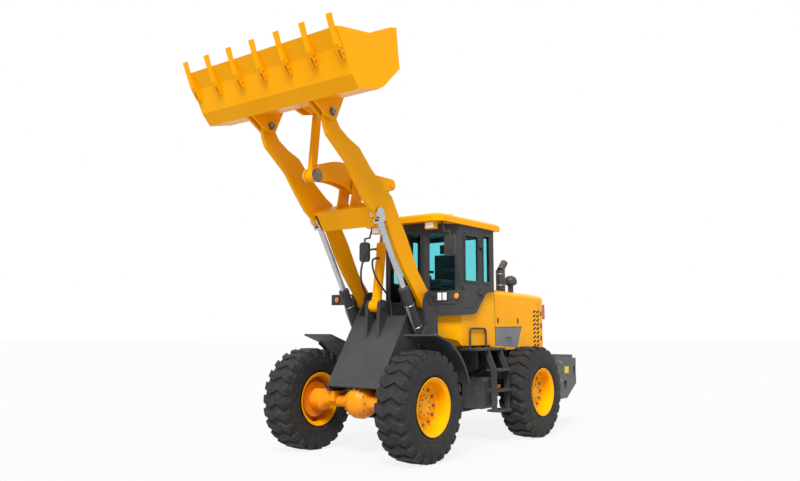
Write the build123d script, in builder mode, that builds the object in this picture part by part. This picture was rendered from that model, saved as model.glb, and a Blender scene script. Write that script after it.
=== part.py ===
from build123d import *
import math
import os

os.makedirs("parts", exist_ok=True)

# Articulated wheel loader, millimetres. +X points forward, +Y to the machine's left and
# +Z up; the origin is on the ground under the middle of the machine's overall box.
# Side profiles are drawn as (x, z) with x measured from the articulation pin.

# ---------------------------------------------------------------- driving dimensions
pivot_x = -130.0            # articulation pin, from the middle of the overall box
wheelbase = 2850.0
tread = 1850.0
tyre_od = 1350.0
rim_seat_r = 322.0
fit = 0.05                  # running clearance of a pin or shaft, on the radius
gap = 6.0                   # clearance between pieces that move past each other
face = 0.3                  # clearance between flat or round faces of two bodies

front_axle_x = wheelbase / 2
rear_axle_x = -wheelbase / 2
wheel_y = tread / 2

# hoses of the tilt cylinder, each point as x, y, z; they start at ports on the barrel
hose_r = 13.0
hose_port_r = 20.0
hose_foot = (1020.0, 172.0, 1790.0)
hose_routes = {
    "tilt_hose_right": [
        (1100, -35, 2663), (1235, -35, 2663), (1300, -80, 2525), (1312, -120, 2365), (1265, -150, 2200),
        (1150, -168, 2060), (1020, -172, 1950), (1020, -172, 1790),
    ],
    "tilt_hose_left": [
        (1118, 35, 2535), (1255, 35, 2535), (1310, 75, 2410), (1290, 115, 2270), (1190, 150, 2130),
        (1020, 172, 1985), (1020, 172, 1790),
    ],
}

# linkage, points in the side plane at rest
boom_pin = (745.0, 1960.0)
bucket_pin = (2655.0, 4090.0)
crank_pin = (1650.0, 3450.0)
link_low_pin = (2390.0, 3450.0)
link_top_pin = (2300.0, 4330.0)
tilt_rod_pin = (900.0, 3560.0)
tilt_base_pin = (1130.0, 1900.0)
lift_base_pin = (600.0, 1100.0)
lift_rod_pin = (1749.0, 3020.0)

arm_y = 510.0
arm_t = 50.0
inner_plate_y = 415.0
outer_plate_y = 605.0
plate_t = 30.0
pin_r = 45.0

crank_plate_y = 65.0
crank_plate_t = 30.0
crank_ear_y = 112.0
crank_ear_t = 30.0
link_half = 44.0            # half width of the pieces that run between the bellcrank's plates
tilt_ear_y = 100.0
tilt_ear_t = 46.0

bucket_half = 1240.0
bucket_side_t = 25.0
bucket_shell_t = 22.0
tooth_count = 7

cab_half = 650.0
cab_wall = 40.0
cab_sill_z = 2265.0
cab_header_z = 2970.0
cab_roof_z = 3060.0
hood_half = 600.0
hood_front = -945.0
hood_rear = -2505.0
deck_z = 1330.0             # underside of the hood and of the walkways beside the cab
rail_y = 380.0
rail_t = 30.0


def side(y):
    """Vertical plane along the machine at the given y; its x runs forward and its y up."""
    return Plane(origin=(pivot_x, y, 0), x_dir=(1, 0, 0), z_dir=(0, -1, 0))


def level(z):
    """Horizontal plane at the given height, with x from the articulation pin."""
    return Plane(origin=(pivot_x, 0, z))


def across(x):
    """Vertical plane across the machine; its x runs to the left side and its y up."""
    return Plane(origin=(pivot_x + x, 0, 0), x_dir=(0, 1, 0), z_dir=(1, 0, 0))


def along(start, end, y):
    """Plane at start, square to the line from start to end in the side plane."""
    direction = Vector(end[0] - start[0], 0, end[1] - start[1])
    return Plane(origin=(pivot_x + start[0], y, start[1]), x_dir=(0, 1, 0), z_dir=direction)


def span(start, end):
    return math.hypot(end[0] - start[0], end[1] - start[1])


def mirrored(points):
    """Closed outline from its left half, listed from front to back."""
    return points + [(x, -y) for x, y in reversed(points)]


def save(part, name):
    part.label = name
    export_step(part, f"parts/{name}.step")


# ---------------------------------------------------------------- wheels
lug_count = 24
lug_half = 52.0             # half width of a lug along the tread
lug_swing = 31.0            # how far a lug's middle line swings to and fro
lug_reach = 178.0           # half length of a lug across the tread
lug_root = 70.0             # depth from a lug's top to where it ends inside the carcass
lug_edge = lug_half + lug_swing
lug_pitch = 360 / lug_count
tread_r = math.sqrt((tyre_od / 2) ** 2 - lug_edge ** 2)
next_lug = math.radians(lug_pitch) - math.asin(lug_edge * 2 / tyre_od)
axle_z = max(tread_r, tyre_od / 2 * math.cos(next_lug))

carcass_half = [(rim_seat_r + face, 176), (450, 222), (638, 168)]
hub_r = 150.0
spindle_r = 60.0
hub_in = -40.0              # inner face of the wheel disc, from the wheel's mid plane
hub_out = 72.0
hub_cap_t = 20.0

# one pitch of the tyre: a flat sided slice of the carcass with its zigzag lug
half_slice = tyre_od * math.tan(math.radians(lug_pitch / 2))
with BuildPart() as tyre_slice:
    with BuildSketch(Plane.XZ):
        with BuildLine():
            Polyline(*carcass_half, *[(r, -y) for r, y in reversed(carcass_half)], close=True)
        make_face()
    extrude(amount=half_slice, both=True)
    with BuildSketch(Plane.XY):
        with BuildLine():
            Polyline((0, 0), (tyre_od, half_slice), (tyre_od, -half_slice), close=True)
        make_face()
    extrude(amount=tyre_od, both=True, mode=Mode.INTERSECT)
    with BuildSketch(Plane(origin=(tread_r, 0, 0), x_dir=(0, 0, 1), z_dir=(-1, 0, 0))):
        with BuildLine():
            middle = [(-lug_reach, lug_swing), (-lug_reach / 3, -lug_swing),
                      (lug_reach / 3, lug_swing), (lug_reach, -lug_swing)]
            Polyline(*[(u, v + lug_half) for u, v in middle],
                     *[(u, v - lug_half) for u, v in reversed(middle)], close=True)
        make_face()
    extrude(amount=lug_root)

with BuildPart() as tyre:
    with PolarLocations(0, lug_count):
        add(tyre_slice.part)

rim_profile = [
    (0, hub_out), (125, hub_out), (138, hub_out - 14), (138, 38), (268, 38), (292, 62),
    (304, 182), (338, 209), (352, 209), (rim_seat_r, 188), (rim_seat_r, -188), (352, -209),
    (338, -209), (304, -188), (304, 10), (hub_r, 10), (hub_r, hub_in), (spindle_r + fit, hub_in),
    (spindle_r + fit, hub_out - hub_cap_t), (0, hub_out - hub_cap_t),
]
with BuildPart() as rim:
    with BuildSketch(Plane.XZ):
        with BuildLine():
            Polyline(*rim_profile, close=True)
        make_face()
    revolve(axis=Axis.Z)

for end_name, axle_x in (("front", front_axle_x), ("rear", rear_axle_x)):
    for side_name, s in (("left", 1), ("right", -1)):
        place = Plane(
            origin=(pivot_x + axle_x, s * wheel_y, axle_z), x_dir=(0, 0, -1), z_dir=(0, s, 0)
        ).location
        save(place * tyre.part, f"tyre_{end_name}_{side_name}")
        save(place * rim.part, f"rim_{end_name}_{side_name}")


# ---------------------------------------------------------------- axles
axle_tube_r = 78.0
axle_end_r = 140.0
ball_r = 215.0
drum_r = 235.0
trunnion_r = 75.0
trunnion_reach = 270.0
pad_z = 800.0               # seat of the front frame on the axle
pad_size = (240.0, 110.0)


def axle(axle_x, name):
    """Axle housing with its differential ball, brake drums and wheel spindles."""
    center = Plane(origin=(pivot_x + axle_x, 0, axle_z), x_dir=(0, 1, 0), z_dir=(1, 0, 0))
    drum_out = wheel_y + hub_in - gap
    spindle_end = wheel_y + hub_out - hub_cap_t - gap
    with BuildPart() as housing:
        with BuildSketch(center):
            with BuildLine():
                ball = [
                    (ball_r * math.sin(math.radians(turn)), ball_r * math.cos(math.radians(turn)))
                    for turn in (14, 40, 64)
                ]
                Polyline(
                    (0, ball[0][1]), *ball, (290, axle_tube_r), (580, axle_tube_r), (640, axle_end_r),
                    (drum_out - 80, axle_end_r), (drum_out - 80, drum_r), (drum_out - 45, drum_r),
                    (drum_out - 45, 120), (drum_out, 120), (drum_out, spindle_r),
                    (spindle_end, spindle_r), (spindle_end, 0), (0, 0), close=True,
                )
            make_face()
        revolve(axis=Axis((pivot_x + axle_x, 0, axle_z), (0, 1, 0)))
        mirror(about=Plane.XZ)
        if axle_x > 0:
            with BuildSketch(level(axle_z)):
                with Locations((axle_x, inner_plate_y), (axle_x, -inner_plate_y)):
                    Rectangle(*pad_size)
            extrude(amount=pad_z - face - axle_z)
            with BuildSketch(across(axle_x)):
                with Locations((0, axle_z)):
                    Circle(trunnion_r)
            extrude(amount=-trunnion_reach)
        else:
            with BuildSketch(across(axle_x)):
                with Locations((0, axle_z)):
                    Circle(trunnion_r)
            extrude(amount=trunnion_reach, both=True)
    save(housing.part, name)


axle(front_axle_x, "front_axle")
axle(rear_axle_x, "rear_axle")

# ---------------------------------------------------------------- front frame
lug_t = 50.0
king_r = 45.0
lug_z = (480.0, 1000.0)     # middle height of the lower and upper articulation lugs
nose_top = (1030.0, 1770.0)
nose_foot = (1615.0, 870.0)
tower_r = 150.0             # rounded top of the boom tower's plates
steer_z = 740.0
steer_base = (-660.0, 240.0)
steer_rod_end = (180.0, 330.0)
steer_barrel_r = 45.0
steer_plate_z = steer_barrel_r + gap + 10    # middle of the plates that hold a cylinder's ends

with BuildPart() as front_frame:
    for s in (-1, 1):
        with BuildSketch(side(s * inner_plate_y)):
            with BuildLine():
                crown = ThreePointArc(
                    (boom_pin[0] - tower_r, boom_pin[1]), (boom_pin[0], boom_pin[1] + tower_r),
                    (boom_pin[0] + tower_r, boom_pin[1]),
                )
                Polyline(
                    crown @ 1, nose_top, nose_foot, (1590, pad_z), (1200, pad_z), (1060, 560),
                    (560, 430), (330, 430), (330, 920), (260, 1060), (470, 1280), (570, 1560),
                    crown @ 0,
                )
            make_face()
        extrude(amount=plate_t / 2, both=True)
        with BuildSketch(side(s * outer_plate_y)):
            with BuildLine():
                crown = ThreePointArc(
                    (boom_pin[0] - tower_r + 10, boom_pin[1]), (boom_pin[0], boom_pin[1] + tower_r - 10),
                    (boom_pin[0] + tower_r + 10, boom_pin[1] - 20),
                )
                Polyline(
                    crown @ 1, (850, 1640), (960, 1500), (1010, 1400), (900, 940), (470, 940),
                    (470, 1180), (560, 1280), (590, 1600), crown @ 0,
                )
            make_face()
        extrude(amount=plate_t / 2, both=True)
        with BuildSketch(side(s * arm_y)):
            with Locations(boom_pin, lift_base_pin):
                Circle(pin_r)
        extrude(amount=(outer_plate_y - arm_y) + plate_t, both=True)
        # floor web between the plates, under the lift cylinder
        with BuildSketch(side(s * arm_y)):
            with Locations((690, 960)):
                Rectangle(400, 30)
        extrude(amount=outer_plate_y - arm_y, both=True)
    # nose plate, belly plate and rear wall between the inner plates
    with BuildSketch(side(0)):
        with BuildLine():
            Polyline(
                nose_top, nose_foot, (nose_foot[0] - 25, nose_foot[1] - 16),
                (nose_top[0] - 25, nose_top[1] - 16), close=True,
            )
        make_face()
        with Locations((800, 445)):
            Rectangle(500, 30)
        with Locations((670, 1420)):
            Rectangle(30, 700)
    extrude(amount=inner_plate_y, both=True)
    # ears of the tilt cylinder, standing through the nose plate
    for s in (-1, 1):
        with BuildSketch(side(s * tilt_ear_y)):
            with BuildLine():
                ear = ThreePointArc(
                    (tilt_base_pin[0] + 80, tilt_base_pin[1]), (tilt_base_pin[0], tilt_base_pin[1] + 80),
                    (tilt_base_pin[0] - 80, tilt_base_pin[1]),
                )
                Polyline(ear @ 1, (960, 1500), (1150, 1380), (1225, 1480), (1225, 1600), ear @ 0)
            make_face()
        extrude(amount=tilt_ear_t / 2, both=True)
    with BuildSketch(side(0)):
        with Locations(tilt_base_pin):
            Circle(pin_r)
    extrude(amount=tilt_ear_y + tilt_ear_t / 2 + 15, both=True)
    # fittings on the nose plate's top, where the hoses of the tilt cylinder end
    with BuildSketch(level(hose_foot[2])):
        with Locations((hose_foot[0], hose_foot[1]), (hose_foot[0], -hose_foot[1])):
            Circle(hose_port_r)
    extrude(amount=-50)
    # plates that hold the rods of the steering cylinders
    for s in (-1, 1):
        for dz in (-steer_plate_z, steer_plate_z):
            with BuildSketch(level(steer_z + dz)):
                with BuildLine():
                    Polyline(
                        (330, s * 410), (330, s * 270), (200, s * 270), (120, s * 310),
                        (120, s * 360), (200, s * 410), close=True,
                    )
                make_face()
            extrude(amount=10, both=True)
    # articulation lugs
    for z in lug_z:
        with BuildSketch(level(z)):
            with BuildLine():
                bow = ThreePointArc((60, -90), (-95, 0), (60, 90))
                Polyline(bow @ 1, (290, 410), (560, 410), (560, -410), (290, -410), bow @ 0)
            make_face()
            Circle(king_r + fit, mode=Mode.SUBTRACT)
        extrude(amount=lug_t / 2, both=True)
save(front_frame.part, "front_frame")


# ---------------------------------------------------------------- boom
rod_eye_r = 80.0
fork_len = 118.0            # from a lift rod's pin back to the end of its fork
fork_in = arm_t / 2 + gap
fork_out = 60.0
arm_top = [
    (655, 2055), (921, 2349), (1148, 2751), (1321, 3011), (1487, 3270), (1614, 3340),
    (1898, 3554), (2129, 3779), (2317, 3851), (2478, 3946), (2560, 4060),
]
arm_bottom = [
    (2735, 3930), (2686, 3828), (2341, 3554), (2167, 3334), (1982, 3120), (1830, 3010),
    (1669, 3020), (1590, 2945), (1380, 2570), (1225, 2347), (852, 1915),
]
fork_turn = (59, 71, 83)    # directions of the lift rods, seen from the boom, over its travel
cross_box = [(1850, 3100), (1700, 2870), (1560, 2960), (1690, 3190)]
for side_name, s in (("left", 1), ("right", -1)):
    with BuildPart() as boom_arm:
        with BuildSketch(side(s * arm_y)):
            with BuildLine():
                root = ThreePointArc(arm_bottom[-1], (boom_pin[0] - 60, boom_pin[1] - 100), arm_top[0])
                Polyline(*arm_top)
                tip = ThreePointArc(arm_top[-1], (2655, 4190), (2752, 4060))
                Polyline(tip @ 1, *arm_bottom)
            make_face()
            with Locations(lift_rod_pin):
                Circle(rod_eye_r)
            with Locations(boom_pin, bucket_pin):
                Circle(pin_r + fit, mode=Mode.SUBTRACT)
        extrude(amount=arm_t / 2, both=True)
        with BuildSketch(side(s * arm_y)):
            with Locations(boom_pin):
                Circle(95)
                Circle(pin_r + fit, mode=Mode.SUBTRACT)
        extrude(amount=outer_plate_y - arm_y - plate_t / 2 - 5, both=True)
    save(boom_arm.part, f"boom_arm_{side_name}")

with BuildPart() as boom_cross_box:
    with BuildSketch(side(0)):
        with BuildLine():
            Polyline(*cross_box, close=True)
        make_face()
    extrude(amount=arm_y - arm_t / 2, both=True)
    # pockets in the box's ends for the inner prongs of the lift rods' forks
    for s in (-1, 1):
        with BuildSketch(side(s * arm_y)):
            with Locations(*[Location((*lift_rod_pin, 0), (0, 0, turn)) for turn in fork_turn]):
                with Locations((-200, 0)):
                    Rectangle(400, 150)
                Circle(rod_eye_r + 12)
        extrude(amount=fork_out + 12, both=True, mode=Mode.SUBTRACT)
    # ears that carry the bellcrank
    for s in (-1, 1):
        with BuildSketch(side(s * crank_ear_y)):
            with BuildLine():
                ear = ThreePointArc(
                    (crank_pin[0] - 90, crank_pin[1] + 20), (crank_pin[0], crank_pin[1] + 100),
                    (crank_pin[0] + 95, crank_pin[1] + 20),
                )
                ThreePointArc(ear @ 1, (1770, 3260), (1830, 3080))
                Polyline((1830, 3080), (1700, 2980), (1620, 3040), ear @ 0)
            make_face()
            with Locations(crank_pin):
                Circle(pin_r + fit, mode=Mode.SUBTRACT)
        extrude(amount=crank_ear_t / 2, both=True)
save(boom_cross_box.part, "boom_cross_box")

with BuildPart() as bucket_pins:
    for s in (-1, 1):
        with BuildSketch(side(s * arm_y)):
            with Locations(bucket_pin):
                Circle(pin_r)
        extrude(amount=90, both=True)
save(bucket_pins.part, "bucket_pins")

# ---------------------------------------------------------------- bellcrank and link
pin_head_r = 80.0
pin_head_t = 25.0


def headed_pin(centre, plates_y):
    """Pin through plates whose outer faces are at plates_y, with a round head at each end."""
    with BuildPart() as pin:
        with BuildSketch(side(0)):
            with Locations(centre):
                Circle(pin_r)
        extrude(amount=plates_y + face + pin_head_t, both=True)
        for s in (-1, 1):
            with BuildSketch(side(s * (plates_y + face + pin_head_t / 2))):
                with Locations(centre):
                    Circle(pin_head_r)
            extrude(amount=pin_head_t / 2, both=True)
    return pin.part


with BuildPart() as bellcrank_pin:
    add(headed_pin(crank_pin, crank_ear_y + crank_ear_t / 2))
save(bellcrank_pin.part, "bellcrank_pin")

with BuildPart() as bellcrank:
    for s in (-1, 1):
        with BuildSketch(side(s * crank_plate_y)):
            with BuildLine():
                nose = ThreePointArc((2410, 3532), (link_low_pin[0] + 85, link_low_pin[1]), (2410, 3368))
                lower = ThreePointArc(nose @ 1, (2040, 3415), (1660, 3330))
                heel = Line(lower @ 1, (915, 3482))
                tail = ThreePointArc(heel @ 1, (tilt_rod_pin[0] - 80, tilt_rod_pin[1]), (905, 3640))
                back = Line(tail @ 1, (1600, 3640))
                ThreePointArc(back @ 1, (2030, 3680), nose @ 0)
            make_face()
            with Locations(crank_pin, link_low_pin):
                Circle(pin_r + fit, mode=Mode.SUBTRACT)
        extrude(amount=crank_plate_t / 2, both=True)
        with BuildSketch(side(s * (crank_plate_y + 5))):
            with Locations(tilt_rod_pin):
                Circle(pin_r)
        extrude(amount=crank_plate_t / 2 + 5, both=True)
    with BuildSketch(side(0)):
        with Locations(crank_pin):
            Circle(85)
            Circle(pin_r + fit, mode=Mode.SUBTRACT)
    extrude(amount=crank_plate_y, both=True)
save(bellcrank.part, "bellcrank")

with BuildPart() as link_pin:
    add(headed_pin(link_low_pin, crank_plate_y + crank_plate_t / 2))
save(link_pin.part, "link_pin")

link_eye_r = 72.0
with BuildPart() as bucket_link:
    with BuildSketch(along(link_low_pin, link_top_pin, 0)):
        Rectangle(2 * link_half - 20, 90)
    extrude(amount=span(link_low_pin, link_top_pin))
    with BuildSketch(side(0)):
        with Locations(link_low_pin, link_top_pin):
            Circle(link_eye_r)
    extrude(amount=link_half, both=True)
    with BuildSketch(side(0)):
        with Locations(link_low_pin):
            Circle(pin_r + fit)
    extrude(amount=link_half, both=True, mode=Mode.SUBTRACT)
save(bucket_link.part, "bucket_link")

# ---------------------------------------------------------------- bucket
lip = (3347, 4728)
guard = (2308, 5052)        # top of the spill guard
bucket_outline = [
    lip, (3222, 4551), (3087, 4282), (2964, 4150), (2800, 4200), (2639, 4230), (2536, 4290),
    (2245, 4576), (2270, 4730), (2290, 4889), guard,
]
mouth_dip = (2800, 4830)
hanger_y = arm_t / 2 + 24.0   # middle of a hanger plate, from the arm's middle
hanger_t = 28.0
with BuildPart() as bucket:
    with BuildSketch(side(0)):
        with BuildLine():
            Polyline(*bucket_outline, close=True)
        make_face()
    extrude(amount=bucket_half, both=True)
    with BuildSketch(side(0)):
        with BuildLine():
            Polyline(*bucket_outline, close=True)
        make_face()
        offset(amount=-bucket_shell_t, kind=Kind.INTERSECTION, mode=Mode.REPLACE)
    extrude(amount=bucket_half - bucket_side_t, both=True, mode=Mode.SUBTRACT)
    # the mouth: open between the lip and the spill guard, the sides dipping between them
    with BuildSketch(side(0)):
        with BuildLine():
            Polyline((3310, 4712), (2330, 5015), (2400, 5200), (3420, 4880), close=True)
        make_face()
    extrude(amount=bucket_half - bucket_side_t, both=True, mode=Mode.SUBTRACT)
    with BuildSketch(side(0)):
        with BuildLine():
            Polyline((3300, 4747), mouth_dip, (2420, 5018), (2450, 5200), (3420, 4880), close=True)
        make_face()
    extrude(amount=bucket_half, both=True, mode=Mode.SUBTRACT)
    for s in (-1, 1):
        # side cutter along the mouth and wear strip round the heel
        with BuildSketch(side(s * (bucket_half - 6))):
            with BuildLine():
                Polyline((3340, 4722), mouth_dip, (2400, 5010), (2300, 4900), (2790, 4700),
                         (3262, 4612), close=True)
            make_face()
            with BuildLine():
                Polyline((3200, 4500), (3087, 4282), (2964, 4150), (2760, 4205), (2770, 4235),
                         (2950, 4190), (3055, 4300), (3165, 4512), close=True)
            make_face()
        extrude(amount=6, both=True)
    # triangular hanger plates round each arm's tip
    for y in (-arm_y - hanger_y, -arm_y + hanger_y, arm_y - hanger_y, arm_y + hanger_y):
        with BuildSketch(side(y)):
            with BuildLine():
                round_end = ThreePointArc((2585, 4015), (2655, 3995), (2725, 4015))
                Polyline(round_end @ 1, (2985, 4175), (2800, 4210), (2639, 4240), (2400, 4430),
                         round_end @ 0)
            make_face()
            with Locations(bucket_pin):
                Circle(pin_r + fit, mode=Mode.SUBTRACT)
        extrude(amount=hanger_t / 2, both=True)
    # ears of the bucket link, with the halves of its split pin
    for s in (-1, 1):
        with BuildSketch(side(s * crank_plate_y)):
            with BuildLine():
                ear = ThreePointArc((2240, 4270), (2225, 4340), (2240, 4400))
                Polyline(ear @ 1, (2290, 4560), (2560, 4300), (2640, 4240), (2480, 4200),
                         (2300, 4248), ear @ 0)
            make_face()
        extrude(amount=crank_plate_t / 2, both=True)
        with BuildSketch(side(s * (crank_plate_y + 5))):
            with Locations(link_top_pin):
                Circle(pin_r)
        extrude(amount=crank_plate_t / 2 + 5, both=True)
save(bucket.part, "bucket")

tooth_w = 70.0
tooth_half_span = bucket_half - tooth_w / 2 - 12
with BuildPart() as bucket_teeth:
    for i in range(tooth_count):
        y = tooth_half_span * (2 * i / (tooth_count - 1) - 1)
        with BuildSketch(side(y)):
            with BuildLine():
                Polyline(lip, (3222, 4551), (3165, 4437), (3190, 4424), (3290, 4560), (3420, 4850),
                         (3398, 4862), close=True)
            make_face()
        extrude(amount=tooth_w / 2, both=True)
        # the shank straddles the floor's underside on two legs
        with BuildSketch(side(y)):
            with BuildLine():
                Polyline((3140, 4400), (3230, 4400), (3250, 4505), (3200, 4530), close=True)
            make_face()
        extrude(amount=12, both=True, mode=Mode.SUBTRACT)
save(bucket_teeth.part, "bucket_teeth")


# ---------------------------------------------------------------- hydraulic cylinders
def cylinder(names, base, rod_end, y, barrel_r, rod_r, barrel_len, eye_half, fork, ports=()):
    """Barrel with its base eye and gland, and rod with its end on the far pin, at height y."""
    barrel_name, rod_name = names
    axis_plane = along(base, rod_end, y)
    length = span(base, rod_end)
    gland_len = 60.0
    with BuildPart() as barrel:
        with BuildSketch(axis_plane.offset(70)):
            Circle(barrel_r - 5)
        extrude(amount=barrel_len - 70)
        with BuildSketch(axis_plane.offset(barrel_len - gland_len)):
            Circle(barrel_r)
        extrude(amount=gland_len)
        with BuildSketch(side(y)):
            with Locations(base):
                Circle(80)
        extrude(amount=eye_half, both=True)
        with BuildSketch(axis_plane.offset(20)):
            Circle(eye_half)
        extrude(amount=90)
        for port_x, port_y, port_z in ports:
            with BuildSketch(across(port_x)):
                with Locations((port_y, port_z)):
                    Circle(hose_port_r)
            extrude(amount=-55)
        with BuildSketch(side(y)):
            with Locations(base):
                Circle(pin_r + fit)
        extrude(amount=eye_half, both=True, mode=Mode.SUBTRACT)
        with BuildSketch(axis_plane.offset(110)):
            Circle(rod_r + fit)
        extrude(amount=barrel_len, mode=Mode.SUBTRACT)
    save(barrel.part, barrel_name)
    rod_tail = barrel_len - 100
    with BuildPart() as rod:
        with BuildSketch(axis_plane.offset(rod_tail)):
            Circle(rod_r)
        extrude(amount=length - rod_tail - (fork_len - 20 if fork else 0))
        if fork:
            for s in (-1, 1):
                with BuildSketch(side(y + s * (fork_in + fork_out) / 2)):
                    with Locations(Location((*rod_end, 0), (0, 0, math.degrees(
                            math.atan2(rod_end[1] - base[1], rod_end[0] - base[0]))))):
                        Circle(70)
                        with Locations((-fork_len / 2, 0)):
                            Rectangle(fork_len, 100)
                extrude(amount=(fork_out - fork_in) / 2, both=True)
            with BuildSketch(axis_plane.offset(length - fork_len)):
                Rectangle(2 * fork_out, 100)
            extrude(amount=fork_len - rod_eye_r - gap)
        else:
            with BuildSketch(side(y)):
                with Locations(rod_end):
                    Circle(rod_eye_r)
            extrude(amount=link_half, both=True)
    save(rod.part, rod_name)


lift_barrel_len = 1190.0
tilt_barrel_len = 850.0
lift_eye_half = outer_plate_y - arm_y - plate_t / 2 - gap - 5
tilt_eye_half = tilt_ear_y - tilt_ear_t / 2 - gap
for side_name, s in (("left", 1), ("right", -1)):
    cylinder((f"lift_barrel_{side_name}", f"lift_rod_{side_name}"), lift_base_pin, lift_rod_pin,
             s * arm_y, 70, 38, lift_barrel_len, lift_eye_half, True)
cylinder(("tilt_barrel", "tilt_rod"), tilt_base_pin, tilt_rod_pin, 0, 70, 38, tilt_barrel_len,
         tilt_eye_half, False, [route[0] for route in hose_routes.values()])

for name, route in hose_routes.items():
    points = [Vector(pivot_x + x, y, z) for x, y, z in route]
    radii = []
    for before, corner, after in zip(points, points[1:], points[2:]):
        turn = math.radians((corner - before).get_angle(after - corner))
        radii.append(0.45 * min((corner - before).length, (after - corner).length) / math.tan(turn / 2))
    print(name, "bend radii", [round(r) for r in radii])
    with BuildPart() as hose:
        with BuildLine() as hose_line:
            FilletPolyline(*points, radius=radii)
        with BuildSketch(Plane(origin=points[0], z_dir=points[1] - points[0])):
            Circle(hose_r)
        hose_path = hose_line.wires()[0]
        sweep(path=hose_path)
    straight_volume = math.pi * hose_r ** 2 * hose_path.length
    print(name, "length", round(hose_path.length), "volume share",
          round(hose.part.volume / straight_volume, 4))
    save(hose.part, name)

# ---------------------------------------------------------------- steering cylinders
steer_pin_r = 25.0
steer_rod_r = 22.0
steer_barrel_end = 540.0
for side_name, s in (("left", 1), ("right", -1)):
    start = Vector(pivot_x + steer_base[0], s * steer_base[1], steer_z)
    end = Vector(pivot_x + steer_rod_end[0], s * steer_rod_end[1], steer_z)
    steer_plane = Plane(origin=start, x_dir=(0, 0, 1), z_dir=end - start)
    steer_len = (end - start).length
    with BuildPart() as steer_barrel:
        with BuildSketch(steer_plane.offset(30)):
            Circle(steer_barrel_r)
        extrude(amount=steer_barrel_end - 30)
        with BuildSketch(Plane(origin=start)):
            Circle(45)
        extrude(amount=35, both=True)
        with BuildSketch(Plane(origin=start)):
            Circle(steer_pin_r + fit)
        extrude(amount=36, both=True, mode=Mode.SUBTRACT)
        with BuildSketch(steer_plane.offset(80)):
            Circle(steer_rod_r + fit)
        extrude(amount=steer_barrel_end, mode=Mode.SUBTRACT)
    save(steer_barrel.part, f"steer_barrel_{side_name}")
    with BuildPart() as steer_rod:
        with BuildSketch(steer_plane.offset(steer_barrel_end - 90)):
            Circle(steer_rod_r)
        extrude(amount=steer_len - steer_barrel_end + 90)
        with BuildSketch(Plane(origin=end)):
            Circle(42)
        extrude(amount=steer_plate_z - 10 - gap / 2, both=True)
    save(steer_rod.part, f"steer_rod_{side_name}")

# ---------------------------------------------------------------- rear frame
shaft_r = 38.0              # drive shafts, on the axles' height
flange_r = 80.0
flange_t = 18.0
rail_top = 1000.0
rail_foot = 480.0
clevis_gap = lug_t / 2 + gap
clevis_t = 30.0
stay_x = (-1700.0, -2335.0)     # stays that carry the hood's sides
post_x = (-450.0, -760.0)       # posts that carry the cab base and the walkways
post_y = 540.0
post_w = 80.0
base_z = 1365.0
hood_low_z = 1286.0
with BuildPart() as rear_frame:
    for s in (-1, 1):
        with BuildSketch(side(s * rail_y)):
            with BuildLine():
                Polyline(
                    (-2350, rail_top), (-1000, rail_top), (-330, rail_top + 60), (-330, 830),
                    (-450, 830), (-450, 650), (-330, 650), (-330, 430), (-1000, 430),
                    (-1120, 830), (-1730, 830), (-1850, rail_foot),
                    (-2350, rail_foot), close=True,
                )
            make_face()
        extrude(amount=rail_t / 2, both=True)
    # clevis plates above and below each articulation lug, with the king pins through them
    for z in lug_z:
        for rise in (-clevis_gap - clevis_t, clevis_gap):
            with BuildSketch(level(z + rise)):
                with BuildLine():
                    bow = ThreePointArc((-75, 95), (92, 0), (-75, -95))
                    Polyline(bow @ 1, (-330, -370), (-620, -370), (-620, 370), (-330, 370), bow @ 0)
                make_face()
            extrude(amount=clevis_t)
        with BuildSketch(level(z)):
            Circle(king_r)
        extrude(amount=clevis_gap + clevis_t + 15, both=True)
    # cross members: in front of and behind the axle with its trunnion bores, and two more
    for x in (rear_axle_x - 255, rear_axle_x + 255):
        with BuildSketch(across(x)):
            with Locations((0, 730)):
                Rectangle(2 * rail_y, 300)
            with Locations((0, axle_z)):
                Circle(trunnion_r, mode=Mode.SUBTRACT)
        extrude(amount=15, both=True)
    for x in (-900, -2250):
        with BuildSketch(across(x)):
            with Locations((0, 700)):
                Rectangle(2 * rail_y, 400)
            if x == -900:
                with Locations((0, axle_z)):
                    Circle(flange_r + gap, mode=Mode.SUBTRACT)
        extrude(amount=15, both=True)
    # stays from the rails out to the hood's sides
    for x in stay_x:
        for s in (-1, 1):
            with BuildSketch(across(x)):
                with BuildLine():
                    Polyline(
                        (s * (rail_y - 10), 900), (s * rail_y, 900), (s * 592, 1120),
                        (s * 592, hood_low_z), (s * (rail_y - 10), hood_low_z), close=True,
                    )
                make_face()
            extrude(amount=12, both=True)
    # outriggers with the posts of the cab base
    for x in post_x:
        with BuildSketch(across(x)):
            with BuildLine():
                Polyline(
                    (-post_y - 40, base_z), (-post_y - 40, rail_top + 20), (-rail_y, 930),
                    (rail_y, 930), (post_y + 40, rail_top + 20), (post_y + 40, base_z),
                    (post_y - 40, base_z), (post_y - 40, rail_top + 90), (-post_y + 40, rail_top + 90),
                    (-post_y + 40, base_z), close=True,
                )
            make_face()
        extrude(amount=post_w / 2, both=True)
    # plates and pins of the steering cylinders' bases
    for s in (-1, 1):
        with BuildSketch(level(steer_z)):
            with Locations((steer_base[0], s * steer_base[1])):
                Circle(steer_pin_r)
        extrude(amount=steer_plate_z + 20, both=True)
        for dz in (-steer_plate_z, steer_plate_z):
            with BuildSketch(level(steer_z + dz)):
                with Locations((steer_base[0], s * (rail_y + steer_base[1] - 50) / 2)):
                    Rectangle(110, rail_y - steer_base[1] + 50)
            extrude(amount=10, both=True)
save(rear_frame.part, "rear_frame")

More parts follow.
